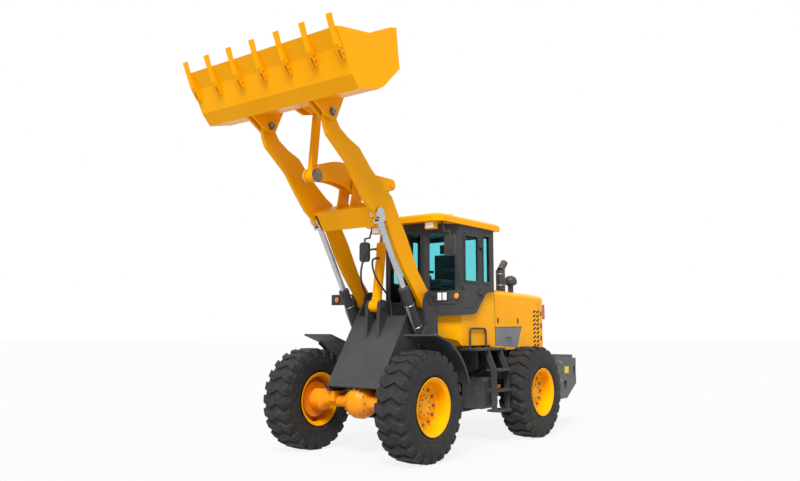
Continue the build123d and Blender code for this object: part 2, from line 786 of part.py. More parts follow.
tow_pin_r = 25.0
tow_x = -3105.0
tow_z = 850.0
tow_jaw = 110.0             # height of the jaw that takes a drawbar's eye
cw_half = 900.0
with BuildPart() as counterweight:
    with BuildSketch(side(0)):
        with BuildLine():
            Polyline((-2350, 1150), (-3170, 1120), (-3170, 740), (-2740, rail_foot), (-2350, rail_foot),
                     close=True)
        make_face()
    extrude(amount=cw_half, both=True)
    vertical = counterweight.edges().filter_by(Axis.Z).group_by(Axis.X)[0]
    chamfer(vertical, 60)
    # slots for lashing straps in both flanks
    for s in (-1, 1):
        with BuildSketch(side(s * cw_half)):
            with Locations((-3065, 917), (-2700, 693)):
                Rectangle(110, 135)
        extrude(amount=60, both=True, mode=Mode.SUBTRACT)
        # ledges along the top
        with BuildSketch(side(s * 775)):
            with BuildLine():
                Polyline((-2500, 1140), (-2500, 1195), (-3090, 1175), (-3090, 1118), close=True)
            make_face()
        extrude(amount=75, both=True)
    # towing jaw at the rear, with a vertical bore for the towing pin
    with BuildSketch(across(tow_x)):
        with Locations((0, tow_z)):
            Rectangle(180, tow_jaw)
    extrude(amount=90, both=True, mode=Mode.SUBTRACT)
    with BuildSketch(level(tow_z)):
        with Locations((tow_x, 0)):
            Circle(tow_pin_r)
    extrude(amount=400, both=True, mode=Mode.SUBTRACT)
save(counterweight.part, "counterweight")

engine_blocks = [
    # x from and to, half width, z from and to
    (-2275, -1425, 350, rail_top, 1550),            # engine
    (-2150, -1850, rail_y - rail_t / 2, rail_top - 60, rail_top),     # its feet on the rails
    (-1425, -810, 150, 905, 1270),                  # torque converter and gearbox
    (-885, -560, 170, 600, 925),                    # transfer case
]
with BuildPart() as engine:
    for x0, x1, half, z0, z1 in engine_blocks:
        with BuildSketch(level(z0)):
            with Locations(((x0 + x1) / 2, 0)):
                Rectangle(x1 - x0, 2 * half)
        extrude(amount=z1 - z0)
save(engine.part, "engine")

# drive shafts: from the transfer case forward to a joint on the articulation pin's axis, on to
# the front axle, and back to the rear axle
knuckle_r = 46.0
case_x = (engine_blocks[3][0], engine_blocks[3][1])
trunnion_end = front_axle_x - trunnion_reach


def shaft_run(x_from, x_to):
    """Round shaft with a flange at its far end, into the part being built."""
    step = flange_t if x_to > x_from else -flange_t
    with BuildPart() as run:
        with BuildSketch(across(x_from)):
            with Locations((0, axle_z)):
                Circle(shaft_r)
        extrude(amount=x_to - x_from)
        with BuildSketch(across(x_to)):
            with Locations((0, axle_z)):
                Circle(flange_r)
        extrude(amount=-step)
    return run.part


with BuildPart() as drive_shaft_front:
    # the knuckle is a ball with flat ends, turned in three steps
    ball = [(0, 1), (0.4, 1), (0.9, 0.5), (1, 0), (0.9, -0.5), (0.4, -1), (0, -1)]
    with BuildSketch(side(0)):
        with BuildLine():
            Polyline(*[(knuckle_r * x, axle_z + knuckle_r * z) for x, z in ball], close=True)
        make_face()
    revolve(axis=Axis((pivot_x, 0, axle_z), (0, 0, 1)))
    add(shaft_run(20, trunnion_end))
save(drive_shaft_front.part, "drive_shaft_front")

with BuildPart() as drive_shaft_rear:
    add(shaft_run(-130, case_x[1]))
    # yoke over and under the knuckle
    with BuildSketch(side(0)):
        with Locations((-105, axle_z)):
            Rectangle(50, 2 * (knuckle_r + gap + 16))
        for s in (-1, 1):
            with Locations((-45, axle_z + s * (knuckle_r + gap + 8))):
                Rectangle(150, 16)
    extrude(amount=35, both=True)
    add(shaft_run(case_x[0] - flange_t, -trunnion_end))
    add(shaft_run(-trunnion_end + flange_t, case_x[0]))
save(drive_shaft_rear.part, "drive_shaft_rear")

tank_x = (-715.0, -345.0)
tank_y = (rail_y + rail_t / 2, 760.0)
tank_z = (480.0, 915.0)
with BuildPart() as side_tanks:
    for s in (-1, 1):
        with BuildSketch(level(tank_z[0])):
            with Locations((sum(tank_x) / 2, s * sum(tank_y) / 2)):
                Rectangle(tank_x[1] - tank_x[0], tank_y[1] - tank_y[0])
        extrude(amount=tank_z[1] - tank_z[0])
    outer_edges = side_tanks.edges().filter_by(Axis.X).filter_by(lambda e: abs(e.center().Y) > tank_y[1] - 1)
    chamfer(outer_edges, 45)
save(side_tanks.part, "side_tanks")

# ---------------------------------------------------------------- cab base and hood
curve_r = 180.0
curve = [(520, 1765), (-330, 1810), (-640, 2130), (-900, 2150)]     # sweep under the cab
base_outline = [(330, 330), (150, 470), (-30, 600), (hood_front, hood_half)]
plan_outline = [(480, 330), (90, cab_half), (-850, cab_half)]


def above_curve(rise):
    """Everything above the cab's lower sweep, raised by the given amount."""
    with BuildPart() as space:
        with BuildSketch(side(0)):
            with BuildLine():
                low = FilletPolyline(*[(x, z + rise) for x, z in curve], radius=curve_r)
                Polyline(low @ 1, (-900, cab_roof_z + 200), (520, cab_roof_z + 200), low @ 0)
            make_face()
        extrude(amount=cab_half + 100, both=True)
    return space.part


cab_space = above_curve(-face)
with BuildPart() as cab_base:
    with BuildSketch(level(base_z - 60)):
        with BuildLine():
            Polyline(*mirrored(base_outline), close=True)
        make_face()
    extrude(amount=2160 - base_z + 60)
    with BuildSketch(side(0)):
        with BuildLine():
            Polyline(
                (hood_front - 10, 1330), (-815, 1340), (-805, base_z), (-30, base_z), (20, 1437),
                (340, 1524), (340, 1200), (hood_front - 10, 1200), close=True,
            )
        make_face()
    extrude(amount=hood_half + 50, both=True, mode=Mode.SUBTRACT)
    add(cab_space, mode=Mode.SUBTRACT)
save(cab_base.part, "cab_base")

exhaust_x = -1750.0
exhaust_y = 250.0
exhaust_r = 75.0
cleaner_x = -2080.0
cleaner_r = 45.0
hood_t = 20.0
hood_shoulder_z = (2150.0, 2118.0)      # at the front and at the rear
panel_outline = [(-955, 1630), (-1807, 1639), (-1655, 1310), (-955, 1350)]


def hood_sections(inset):
    """The hood's two end sections, drawn inwards by the inset."""
    sections = []
    for x, shoulder in zip((hood_front, hood_rear), hood_shoulder_z):
        x_in = x - inset if x == hood_front and inset else x + inset
        with BuildSketch(across(x_in)) as section:
            with BuildLine():
                half = hood_half - inset
                top = shoulder - inset
                crown = ThreePointArc((-half, top), (0, top + 95), (half, top))
                Polyline(crown @ 1, (half, hood_low_z - inset), (-half, hood_low_z - inset), crown @ 0)
            make_face()
            fillet(section.vertices().group_by(Axis.Y)[-1], 55)
        sections.append(section.sketch)
    return sections


with BuildPart() as hood_space:
    loft(hood_sections(hood_t))
with BuildPart() as hood:
    loft(hood_sections(0))
    add(hood_space.part, mode=Mode.SUBTRACT)
    for s in (-1, 1):
        # opening behind the steel side panel
        with BuildSketch(side(s * hood_half)):
            with BuildLine():
                Polyline(*panel_outline, close=True)
            make_face()
        extrude(amount=hood_t + 10, both=True, mode=Mode.SUBTRACT)
        # two columns of slanted cooling slots
        with BuildSketch(side(s * hood_half)):
            with Locations(*[(x, 1345 + 68 * i) for x in (-2215, -2330) for i in range(9)]):
                with BuildLine():
                    Polyline((-42, 22), (-42, -6), (42, -36), (42, -8), close=True)
                make_face()
        extrude(amount=hood_t + 10, both=True, mode=Mode.SUBTRACT)
    # radiator opening at the rear
    with BuildSketch(across(hood_rear)):
        with Locations((0, 1530)):
            Rectangle(900, 420)
    extrude(amount=hood_t + 10, both=True, mode=Mode.SUBTRACT)
    # collar hole of the exhaust stack
    with BuildSketch(level(hood_shoulder_z[1])):
        with Locations((exhaust_x, exhaust_y)):
            Circle(exhaust_r + face)
        with Locations((cleaner_x, exhaust_y)):
            Circle(cleaner_r + face)
    extrude(amount=200, mode=Mode.SUBTRACT)
save(hood.part, "hood")

with BuildPart() as side_panels:
    for s in (-1, 1):
        with BuildSketch(side(s * (hood_half - 12))):
            with BuildLine():
                Polyline(*panel_outline, close=True)
            make_face()
        extrude(amount=5, both=True)
save(side_panels.part, "side_panels")

grille_reach = 145.0
with BuildPart() as radiator_grille:
    with BuildSketch(across(hood_rear - grille_reach)):
        RectangleRounded(900, 480, 60)
    extrude(amount=grille_reach)
    with BuildSketch(across(hood_rear - grille_reach)):
        with Locations(*[(0, 44 * i) for i in range(-4, 5)]):
            Rectangle(800, 24)
    extrude(amount=40, mode=Mode.SUBTRACT)
    with BuildSketch(across(hood_rear)):
        Rectangle(840, 360)
    extrude(amount=-grille_reach + 60, mode=Mode.SUBTRACT)
radiator_grille.part = radiator_grille.part.moved(Location((0, 0, 1530)))
save(radiator_grille.part, "radiator_grille")

with BuildPart() as tail_lamps:
    for s in (-1, 1):
        with BuildSketch(across(hood_rear - 110)):
            with Locations((s * 525, 1885)):
                RectangleRounded(130, 250, 20)
        extrude(amount=110)
save(tail_lamps.part, "tail_lamps")

# ---------------------------------------------------------------- cab
hinge_x = -475.0
hinge_y = cab_half + 20
hinge_z = (2120.0, 2800.0)
hinge_half = 30.0
hinge_pin_r = 10.0
door_outline = [(75, 1880), (-290, 1905), (-440, 2050), (-440, 2955), (75, 2955)]
door_gap = 5.0
quarter_x = (-635.0, 190.0)     # middle and width of the rear quarter window
cheek = (Vector(480, 330), Vector(90, cab_half))
cheek_z = (1950.0, 2930.0)
screen_w = 560.0
rear_window_w = 1100.0
window_r = 40.0


def cheek_plane(s):
    """Upright plane on the outer face of the angled pane beside the windscreen."""
    run = cheek[1] - cheek[0]
    middle = (cheek[0] + cheek[1]) * 0.5
    return Plane(
        origin=(pivot_x + middle.X, s * middle.Y, sum(cheek_z) / 2),
        x_dir=(run.X, s * run.Y, 0), z_dir=(run.Y, -s * run.X, 0),
    )


cheek_w = (cheek[1] - cheek[0]).length - 110


def window_faces(shrink):
    """The fixed windows in the middle of the walls, smaller all round by half the shrink."""
    middle_z = (cab_sill_z + cab_header_z) / 2
    height = cab_header_z - cab_sill_z - shrink
    front_height = cheek_z[1] - cheek_z[0] - shrink
    faces = []
    for s in (-1, 1):
        with BuildSketch(side(s * (cab_half - cab_wall / 2))) as quarter:
            with Locations((quarter_x[0], middle_z)):
                RectangleRounded(quarter_x[1] - shrink, height, window_r)
        with BuildSketch(cheek_plane(s).offset(-cab_wall / 2)) as cheek_window:
            RectangleRounded(cheek_w - shrink, front_height, window_r)
        faces += [quarter.sketch, cheek_window.sketch]
    with BuildSketch(across(-850 + cab_wall / 2)) as rear_window:
        with Locations((0, middle_z)):
            RectangleRounded(rear_window_w - shrink, height, window_r)
    with BuildSketch(across(480 - cab_wall / 2)) as screen:
        with Locations((0, sum(cheek_z) / 2)):
            RectangleRounded(screen_w - shrink, front_height, window_r)
    return faces + [rear_window.sketch, screen.sketch]


with BuildPart() as cab_void:
    with BuildSketch(level(curve[0][1])):
        with BuildLine():
            Polyline(*mirrored(plan_outline), close=True)
        make_face()
        offset(amount=-cab_wall, mode=Mode.REPLACE)
    extrude(amount=cab_roof_z - cab_wall - curve[0][1])
    add(above_curve(cab_wall), mode=Mode.INTERSECT)

with BuildPart() as cab_shell:
    with BuildSketch(level(curve[0][1])):
        with BuildLine():
            Polyline(*mirrored(plan_outline), close=True)
        make_face()
    extrude(amount=cab_roof_z - curve[0][1])
    add(above_curve(0), mode=Mode.INTERSECT)
    add(cab_void.part, mode=Mode.SUBTRACT)
    with BuildSketch(side(0)):
        with BuildLine():
            Polyline(*door_outline, close=True)
        make_face()
    extrude(amount=cab_half + 10, both=True, mode=Mode.SUBTRACT)
    for window in window_faces(0):
        extrude(window, amount=cab_wall / 2 + 5, both=True, mode=Mode.SUBTRACT)
    # door hinges: a pin between two lugs, twice on each side
    for s in (-1, 1):
        for z in hinge_z:
            for lug_base in (z - hinge_half - 14, z + hinge_half):
                with BuildSketch(level(lug_base)):
                    with Locations((hinge_x, s * hinge_y)):
                        Circle(14)
                    with Locations((hinge_x - 20, s * (cab_half + 9))):
                        Rectangle(40, 18)
                extrude(amount=14)
            with BuildSketch(level(z)):
                with Locations((hinge_x, s * hinge_y)):
                    Circle(hinge_pin_r)
            extrude(amount=hinge_half + 14, both=True)
save(cab_shell.part, "cab_shell")

with BuildPart() as cab_glass:
    for pane in window_faces(2 * face):
        extrude(pane, amount=3, both=True)
save(cab_glass.part, "cab_glass")

roof_outline = [(620, 560), (540, 680), (-990, 680)]
with BuildPart() as cab_roof:
    with BuildSketch(level(cab_roof_z)):
        with BuildLine():
            Polyline(*mirrored(roof_outline), close=True)
        make_face()
    extrude(amount=105)
    chamfer(cab_roof.faces().sort_by(Axis.Z)[-1].edges(), 30)
    # work lamps under the front corners
    for s in (-1, 1):
        with BuildSketch(level(cab_roof_z)):
            with Locations((520, s * 470)):
                Rectangle(90, 150)
        extrude(amount=-100)
    # beacon
    with BuildSketch(level(cab_roof_z + 105)):
        with Locations((-250, 250)):
            Circle(55)
    extrude(amount=110)
save(cab_roof.part, "cab_roof")

door_window = (-225.0, 2600.0)      # middle of the door's pane
door_window_size = (350.0, 660.0)
door_t = 34.0
for side_name, s in (("left", 1), ("right", -1)):
    door_plane = side(s * (cab_half - cab_wall / 2))
    with BuildPart() as cab_door:
        with BuildSketch(door_plane):
            with BuildLine():
                Polyline(*door_outline, close=True)
            make_face()
            offset(amount=-door_gap, mode=Mode.REPLACE)
            with Locations(door_window):
                RectangleRounded(*door_window_size, window_r, mode=Mode.SUBTRACT)
        extrude(amount=door_t / 2, both=True)
        for z in hinge_z:
            with BuildSketch(level(z)):
                with Locations((hinge_x, s * hinge_y)):
                    Circle(17)
                with Locations((hinge_x + 25, s * hinge_y)):
                    Rectangle(50, 28)
                with Locations((hinge_x + 55, s * (hinge_y - 6))):
                    Rectangle(30, 40)
                with Locations((hinge_x, s * hinge_y)):
                    Circle(hinge_pin_r + fit, mode=Mode.SUBTRACT)
            extrude(amount=hinge_half - 0.5, both=True)
    save(cab_door.part, f"cab_door_{side_name}")
    with BuildPart() as door_glass:
        with BuildSketch(door_plane):
            with Locations(door_window):
                RectangleRounded(door_window_size[0] - 2 * face, door_window_size[1] - 2 * face, window_r)
        extrude(amount=3, both=True)
    save(door_glass.part, f"door_glass_{side_name}")

# ---------------------------------------------------------------- inside the cab
def floor_z(x):
    """Height of the cab's floor, which rises slowly towards the rear."""
    fall = (curve[1][1] - curve[0][1]) / (curve[0][0] - curve[1][0])
    return curve[0][1] + (curve[0][0] - x) * fall + cab_wall + face


with BuildPart() as seat:
    with BuildSketch(side(0)):
        with BuildLine():
            Polyline(
                (-80, floor_z(-80)), (-80, 2160), (-40, 2240), (-70, 2300), (-490, 2270), (-570, 2880),
                (-640, 2880), (-610, 2210), (-540, 2150), (-250, 2130), (-250, floor_z(-250)), close=True,
            )
        make_face()
    extrude(amount=240, both=True)
save(seat.part, "operator_seat")

with BuildPart() as steering_column:
    with BuildSketch(side(0)):
        with BuildLine():
            Polyline((400, floor_z(400)), (260, floor_z(260)), (150, 2330), (225, 2350), close=True)
        make_face()
    extrude(amount=70, both=True)
    with BuildSketch(along((175, 2338), (145, 2430), 0)):
        Circle(190)
        Circle(165, mode=Mode.SUBTRACT)
        Rectangle(340, 30)
        Circle(40)
    extrude(amount=25)
save(steering_column.part, "steering_column")

# ---------------------------------------------------------------- exhaust, steps, fenders, lamps, mirrors
with BuildPart() as exhaust_stack:
    tail_plane = Plane(origin=(pivot_x + exhaust_x, exhaust_y, 2545), x_dir=(0, 1, 0), z_dir=(-1, 0, 1))
    with BuildSketch(level(2180)):
        with Locations((exhaust_x, exhaust_y)):
            Circle(exhaust_r)
    extrude(amount=370)
    with BuildSketch(tail_plane):
        Circle(58)
    extrude(amount=190)
    with BuildSketch(tail_plane):
        Circle(50)
    extrude(amount=200, mode=Mode.SUBTRACT)
save(exhaust_stack.part, "exhaust_stack")

with BuildPart() as air_cleaner:
    with BuildSketch(side(exhaust_y)):
        with BuildLine():
            dome = ThreePointArc((cleaner_x, 2475), (cleaner_x + 70, 2455), (cleaner_x + 105, 2400))
            Polyline(dome @ 1, (cleaner_x + 105, 2340), (cleaner_x + cleaner_r, 2310),
                     (cleaner_x + cleaner_r, 2180), (cleaner_x, 2180), dome @ 0)
        make_face()
    revolve(axis=Axis((pivot_x + cleaner_x, exhaust_y, 0), (0, 0, 1)))
save(air_cleaner.part, "air_cleaner")

step_z = (480.0, 760.0, 1040.0)
step_y = (800.0, 1000.0)
step_x = (-700.0, -350.0)
walk_y = (580.0, 850.0)
handle_r = 14.0
hand_rail = [(-640, deck_z - 10), (-640, 1605), (-205, 1605), (-205, deck_z - 10)]
with BuildPart() as ladders:
    for s in (-1, 1):
        with BuildSketch(level(deck_z - 30)):
            with Locations((-400, s * sum(walk_y) / 2)):
                Rectangle(800, walk_y[1] - walk_y[0])
        extrude(amount=30)
        for z in step_z:
            with BuildSketch(level(z)):
                with Locations((sum(step_x) / 2, s * sum(step_y) / 2)):
                    Rectangle(step_x[1] - step_x[0], step_y[1] - step_y[0])
            extrude(amount=-30)
        # stringers from the walkway down to the lowest step
        for x in step_x:
            with BuildSketch(across(x)):
                with BuildLine():
                    Polyline(
                        (s * 780, deck_z - 30), (s * 850, deck_z - 30), (s * 960, 1040), (s * 960, 450),
                        (s * 880, 450), (s * 880, 1020), (s * 780, 1250), close=True,
                    )
                make_face()
            extrude(amount=10, both=True)
        # hand rail standing on the walkway
        with BuildLine() as rail_line:
            FilletPolyline(*[(pivot_x + x, s * 625, z) for x, z in hand_rail], radius=60)
        with BuildSketch(Plane(origin=rail_line.line @ 0, z_dir=(0, 0, 1))):
            RegularPolygon(radius=handle_r, side_count=8)
        sweep(path=rail_line.line)
save(ladders.part, "ladders")

fender_in = outer_plate_y + plate_t / 2
fender_out = 1120.0
fender_r = 838.0            # inner face of the fender's round stretch, about the axle
fender_t = 20.0


def fender_line(radius):
    """Front flange and round stretch of a fender, as points on the given radius."""
    points = []
    for angle in (118, 133, 148, 163):
        turn = math.radians(angle)
        points.append((front_axle_x + radius * math.cos(turn), axle_z + radius * math.sin(turn)))
    return points


with BuildPart() as front_fenders:
    for s in (-1, 1):
        with BuildSketch(side(s * (fender_in + fender_out) / 2)):
            inner = fender_line(fender_r)
            outer = fender_line(fender_r + fender_t)
            with BuildLine():
                under = ThreePointArc(inner[0], inner[1], inner[3])
                over = ThreePointArc(outer[3], outer[1], outer[0])
                Line(under @ 1, over @ 0)
                Polyline(over @ 1, (1330, 1530), (1336, 1510), under @ 0)
            make_face()
        extrude(amount=(fender_out - fender_in) / 2, both=True)
        # rolled lip along the outer edge
        with BuildSketch(side(s * fender_out)):
            with BuildLine():
                rolled = fender_line(fender_r - 25)
                under = ThreePointArc(rolled[0], rolled[1], rolled[3])
                over = ThreePointArc(inner[3], inner[1], inner[0])
                Line(under @ 1, over @ 0)
                Line(over @ 1, under @ 0)
            make_face()
        extrude(amount=-8 * s if s > 0 else 8)
save(front_fenders.part, "front_fenders")

lamp_z = 2018.0
with BuildPart() as headlamps:
    for s in (-1, 1):
        with BuildSketch(across(680)):
            with Locations((s * 905, lamp_z)):
                Rectangle(480, 150)
        extrude(amount=75)
        with BuildSketch(across(755)):
            with Locations((s * 770, lamp_z), (s * 850, lamp_z)):
                Rectangle(72, 110)
            with Locations((s * 1030, lamp_z)):
                Circle(42)
        extrude(amount=14)
        # bracket to the boom tower
        with BuildSketch(across(690)):
            with Locations((s * (fender_in + 35), lamp_z + 25)):
                Rectangle(70, 50)
        extrude(amount=50)
save(headlamps.part, "headlamps")

with BuildPart() as mirrors:
    for s in (-1, 1):
        with BuildSketch(across(455)):
            with Locations((s * 750, 2720)):
                RectangleRounded(170, 290, 50)
        extrude(amount=45)
        with BuildSketch(across(470)):
            with BuildLine():
                Polyline((s * 600, cab_roof_z), (s * 624, cab_roof_z), (s * 664, 2935), (s * 760, 2925),
                         (s * 760, 2860), (s * 740, 2860), (s * 740, 2905), (s * 650, 2913), close=True)
            make_face()
        extrude(amount=16)
save(mirrors.part, "mirrors")
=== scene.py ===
import math

import bmesh
import bpy
from mathutils import Matrix, Vector


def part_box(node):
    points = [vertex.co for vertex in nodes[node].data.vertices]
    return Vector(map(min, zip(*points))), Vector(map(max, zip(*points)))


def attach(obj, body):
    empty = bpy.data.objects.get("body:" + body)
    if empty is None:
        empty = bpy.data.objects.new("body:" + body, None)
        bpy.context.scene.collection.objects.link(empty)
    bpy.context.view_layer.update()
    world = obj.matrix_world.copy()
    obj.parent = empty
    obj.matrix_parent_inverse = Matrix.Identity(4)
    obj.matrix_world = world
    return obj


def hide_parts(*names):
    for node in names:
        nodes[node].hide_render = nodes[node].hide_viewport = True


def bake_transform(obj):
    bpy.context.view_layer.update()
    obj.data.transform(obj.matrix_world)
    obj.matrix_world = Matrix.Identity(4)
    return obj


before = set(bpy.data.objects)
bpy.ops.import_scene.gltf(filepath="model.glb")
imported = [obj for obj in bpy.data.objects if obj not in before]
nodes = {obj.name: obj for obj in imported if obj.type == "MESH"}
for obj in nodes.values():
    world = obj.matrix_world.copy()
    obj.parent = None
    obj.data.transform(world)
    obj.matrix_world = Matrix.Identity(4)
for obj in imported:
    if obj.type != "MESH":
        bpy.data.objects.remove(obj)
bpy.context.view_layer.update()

# ---------------------------------------------------------------- yard, lamps and camera
# The machine stands on a pale concrete yard under an open white sky, seen from ahead of its
# left front wheel, with the lens as high as the hood's flank.
yard_half = 120.0
yard_color = (0.55, 0.55, 0.55, 1)
yard_glow = 0.86
sky_strength = 0.60
sun_strength = 4.0
sun_spread = math.radians(24)
sun_heading = Vector((-0.62, -0.30, -0.72))
eye = Vector((8.789, 6.317, 1.576))
eye_yaw = math.radians(-142.76)
eye_pitch = math.radians(6.83)
lens_mm = 33.85

scene = bpy.context.scene
scene.view_settings.view_transform = "Standard"


def set_sockets(made, sockets):
    """Sets a shader's sockets, or links them to another shader's outputs."""
    for label, value in sockets.items():
        if isinstance(value, bpy.types.NodeSocket):
            made.id_data.links.new(value, made.inputs[label])
        else:
            made.inputs[label].default_value = value


def shader(tree, kind, sockets=(), **settings):
    """A shader node with its settings and its sockets."""
    made = tree.nodes.new("ShaderNode" + kind)
    for name, value in settings.items():
        setattr(made, name, value)
    set_sockets(made, dict(sockets))
    return made


def scaled(tree, value, factor):
    """A value times a constant or another value."""
    return shader(tree, "Math", {0: value, 1: factor}, operation="MULTIPLY").outputs[0]


def seen_straight(tree):
    """One where the camera, a gloss or a pane of glass looks at the background."""
    light_path = shader(tree, "LightPath")
    both = shader(tree, "Math", {
        0: light_path.outputs["Is Camera Ray"], 1: light_path.outputs["Is Glossy Ray"],
    }, operation="MAXIMUM")
    return shader(tree, "Math", {
        0: both.outputs[0], 1: light_path.outputs["Is Transmission Ray"],
    }, operation="MAXIMUM").outputs[0]


sky = bpy.data.worlds.new("sky")
sky.use_nodes = True
scene.world = sky
sky.node_tree.nodes.clear()
sky_light = shader(sky.node_tree, "Background", {"Color": (1, 1, 1, 1), "Strength": sky_strength})
sky_seen = shader(sky.node_tree, "Background", {"Color": (1, 1, 1, 1), "Strength": 1.0})
sky_mix = shader(sky.node_tree, "MixShader", {
    0: seen_straight(sky.node_tree), 1: sky_light.outputs[0], 2: sky_seen.outputs[0],
})
shader(sky.node_tree, "OutputWorld", {"Surface": sky_mix.outputs[0]})

bm = bmesh.new()
bmesh.ops.create_grid(bm, x_segments=1, y_segments=1, size=yard_half)
yard_mesh = bpy.data.meshes.new("yard")
bm.to_mesh(yard_mesh)
bm.free()
yard = bpy.data.objects.new("yard", yard_mesh)
scene.collection.objects.link(yard)
yard_finish = bpy.data.materials.new("yard_concrete")
yard_finish.use_nodes = True
tree = yard_finish.node_tree
tree.nodes.clear()
matt = shader(tree, "BsdfDiffuse", {"Color": yard_color})
bright = shader(tree, "Emission", {"Color": (1, 1, 1, 1), "Strength": 1.0})
bright_share = scaled(tree, seen_straight(tree), yard_glow)
both = shader(tree, "MixShader", {0: bright_share, 1: matt.outputs[0], 2: bright.outputs[0]})
shader(tree, "OutputMaterial", {"Surface": both.outputs[0]})
yard_mesh.materials.append(yard_finish)

sun = bpy.data.lights.new("sun", "SUN")
sun.energy = sun_strength
sun.angle = sun_spread
sun_object = bpy.data.objects.new("sun", sun)
sun_object.rotation_euler = sun_heading.to_track_quat("-Z", "Y").to_euler()
scene.collection.objects.link(sun_object)

camera = bpy.data.cameras.new("camera")
camera.lens = lens_mm
camera.sensor_width = 36.0
camera.clip_end = 500.0
camera_object = bpy.data.objects.new("camera", camera)
scene.collection.objects.link(camera_object)
heading = Vector((
    math.cos(eye_pitch) * math.cos(eye_yaw), math.cos(eye_pitch) * math.sin(eye_yaw),
    math.sin(eye_pitch),
))
camera_object.matrix_world = (
    Matrix.Translation(eye) @ heading.to_track_quat("-Z", "Y").to_matrix().to_4x4()
)
scene.camera = camera_object

# ---------------------------------------------------------------- plate work in dark grey enamel
# Both frames, fenders, ladders, cab shell, doors, radiator grille and the barrels of the
# lift and steering cylinders are steel, sprayed together in semi-gloss grey.
grey = (0.046, 0.046, 0.048, 1)
grey_faded = (0.060, 0.060, 0.061, 1)
primer = (0.20, 0.075, 0.05, 1)
bare_steel = (0.30, 0.29, 0.28, 1)
road_dust = (0.34, 0.29, 0.23, 1)


def mix_colors(tree, share, first, second):
    """Colour running from the first to the second as the share goes from 0 to 1."""
    return shader(tree, "Mix", {0: share, 6: first, 7: second}, data_type="RGBA").outputs[2]


def remap(tree, value, low, high, to_low=0.0, to_high=1.0):
    """A value's range from low to high, stretched to another range."""
    return shader(tree, "MapRange", {
        "Value": value, "From Min": low, "From Max": high, "To Min": to_low, "To Max": to_high,
    }).outputs[0]


def effect_group(name, inputs, outputs):
    """Empty node group with float inputs and their defaults, and its named outputs."""
    group = bpy.data.node_groups.new(name, "ShaderNodeTree")
    for label, default in inputs:
        socket = group.interface.new_socket(label, in_out="INPUT", socket_type="NodeSocketFloat")
        socket.default_value = default
    for label, kind in outputs:
        group.interface.new_socket(label, in_out="OUTPUT", socket_type="NodeSocket" + kind)
    return group, group.nodes.new("NodeGroupInput"), group.nodes.new("NodeGroupOutput")


def own_place(tree):
    """The piece's own coordinates, in metres."""
    return shader(tree, "TexCoord").outputs["Object"]


def noise(tree, scale, detail=4.0, roughness=0.55):
    """Noise on the piece's own coordinates, in cycles per metre."""
    return shader(tree, "TexNoise", {
        "Vector": own_place(tree), "Scale": scale, "Detail": detail, "Roughness": roughness,
    }).outputs["Fac"]


def cells(tree, scale):
    """Distance from the middle of the nearest grain, with so many grains to a metre."""
    return shader(tree, "TexVoronoi", {"Vector": own_place(tree), "Scale": scale}).outputs["Distance"]


def ribs(tree, scale, direction, distortion=0.0):
    """Parallel ribs across one direction."""
    return shader(tree, "TexWave", {
        "Vector": own_place(tree), "Scale": scale, "Distortion": distortion,
    }, bands_direction=direction).outputs["Fac"]


def raised(tree, height, strength, depth, normal=None):
    """Normal of a surface raised by a height, on top of another normal where one is given."""
    sockets = {"Strength": strength, "Distance": depth, "Height": height}
    if normal:
        sockets["Normal"] = normal
    return shader(tree, "Bump", sockets).outputs[0]


# slow fading, dust that gathers low down and on flat tops, and the fine ripple of sprayed paint
weathering, weather_in, weather_out = effect_group(
    "weathering", [("Ripple Scale", 260.0), ("Dust Height", 1.1)],
    [("Fade", "Float"), ("Dust", "Float"), ("Ripple", "Float")],
)
fade = remap(weathering, noise(weathering, 1.7), 0.35, 0.68)
place = own_place(weathering)
height = shader(weathering, "SeparateXYZ", {0: place}).outputs["Z"]
lowness = shader(weathering, "MapRange", {
    "Value": height, "From Min": 0.0, "From Max": weather_in.outputs["Dust Height"],
    "To Min": 1.0, "To Max": 0.0,
}).outputs[0]
facing = shader(weathering, "NewGeometry")
upward = shader(weathering, "SeparateXYZ", {0: facing.outputs["Normal"]}).outputs["Z"]
tops = remap(weathering, upward, 0.55, 1.0, 0.0, 0.5)
settled = shader(weathering, "Math", {0: lowness, 1: tops}, operation="ADD").outputs[0]
patches = remap(weathering, noise(weathering, 14.0, 8.0, 0.68), 0.42, 0.72)
dust = scaled(weathering, settled, patches)
fine = shader(weathering, "TexNoise", {
    "Vector": place, "Scale": weather_in.outputs["Ripple Scale"], "Detail": 2.0,
}).outputs["Fac"]
for label, value in (("Fade", fade), ("Dust", dust), ("Ripple", fine)):
    weathering.links.new(value, weather_out.inputs[label])

# rubbed and softened edges of a piece
edge_wear, edge_in, edge_out = effect_group(
    "edge_wear", [("Radius", 0.006)], [("Mask", "Float"), ("Normal", "Vector")],
)
soft_edge = shader(edge_wear, "Bevel", {"Radius": edge_in.outputs["Radius"]}, samples=4)
flat_side = shader(edge_wear, "NewGeometry")
agreement = shader(edge_wear, "VectorMath", {
    0: soft_edge.outputs[0], 1: flat_side.outputs["Normal"],
}, operation="DOT_PRODUCT").outputs["Value"]
turned = remap(edge_wear, agreement, 0.97, 0.80)
rubbed = remap(edge_wear, noise(edge_wear, 22.0, 6.0), 0.45, 0.62)
edge_wear.links.new(scaled(edge_wear, turned, rubbed), edge_out.inputs["Mask"])
edge_wear.links.new(soft_edge.outputs[0], edge_out.inputs["Normal"])


def new_finish(name):
    """Material with an empty tree, its principled shader and its output."""
    finish = bpy.data.materials.new(name)
    finish.use_nodes = True
    tree = finish.node_tree
    tree.nodes.clear()
    body_shader = shader(tree, "BsdfPrincipled")
    shader(tree, "OutputMaterial", {"Surface": body_shader.outputs[0]})
    return finish, tree, body_shader


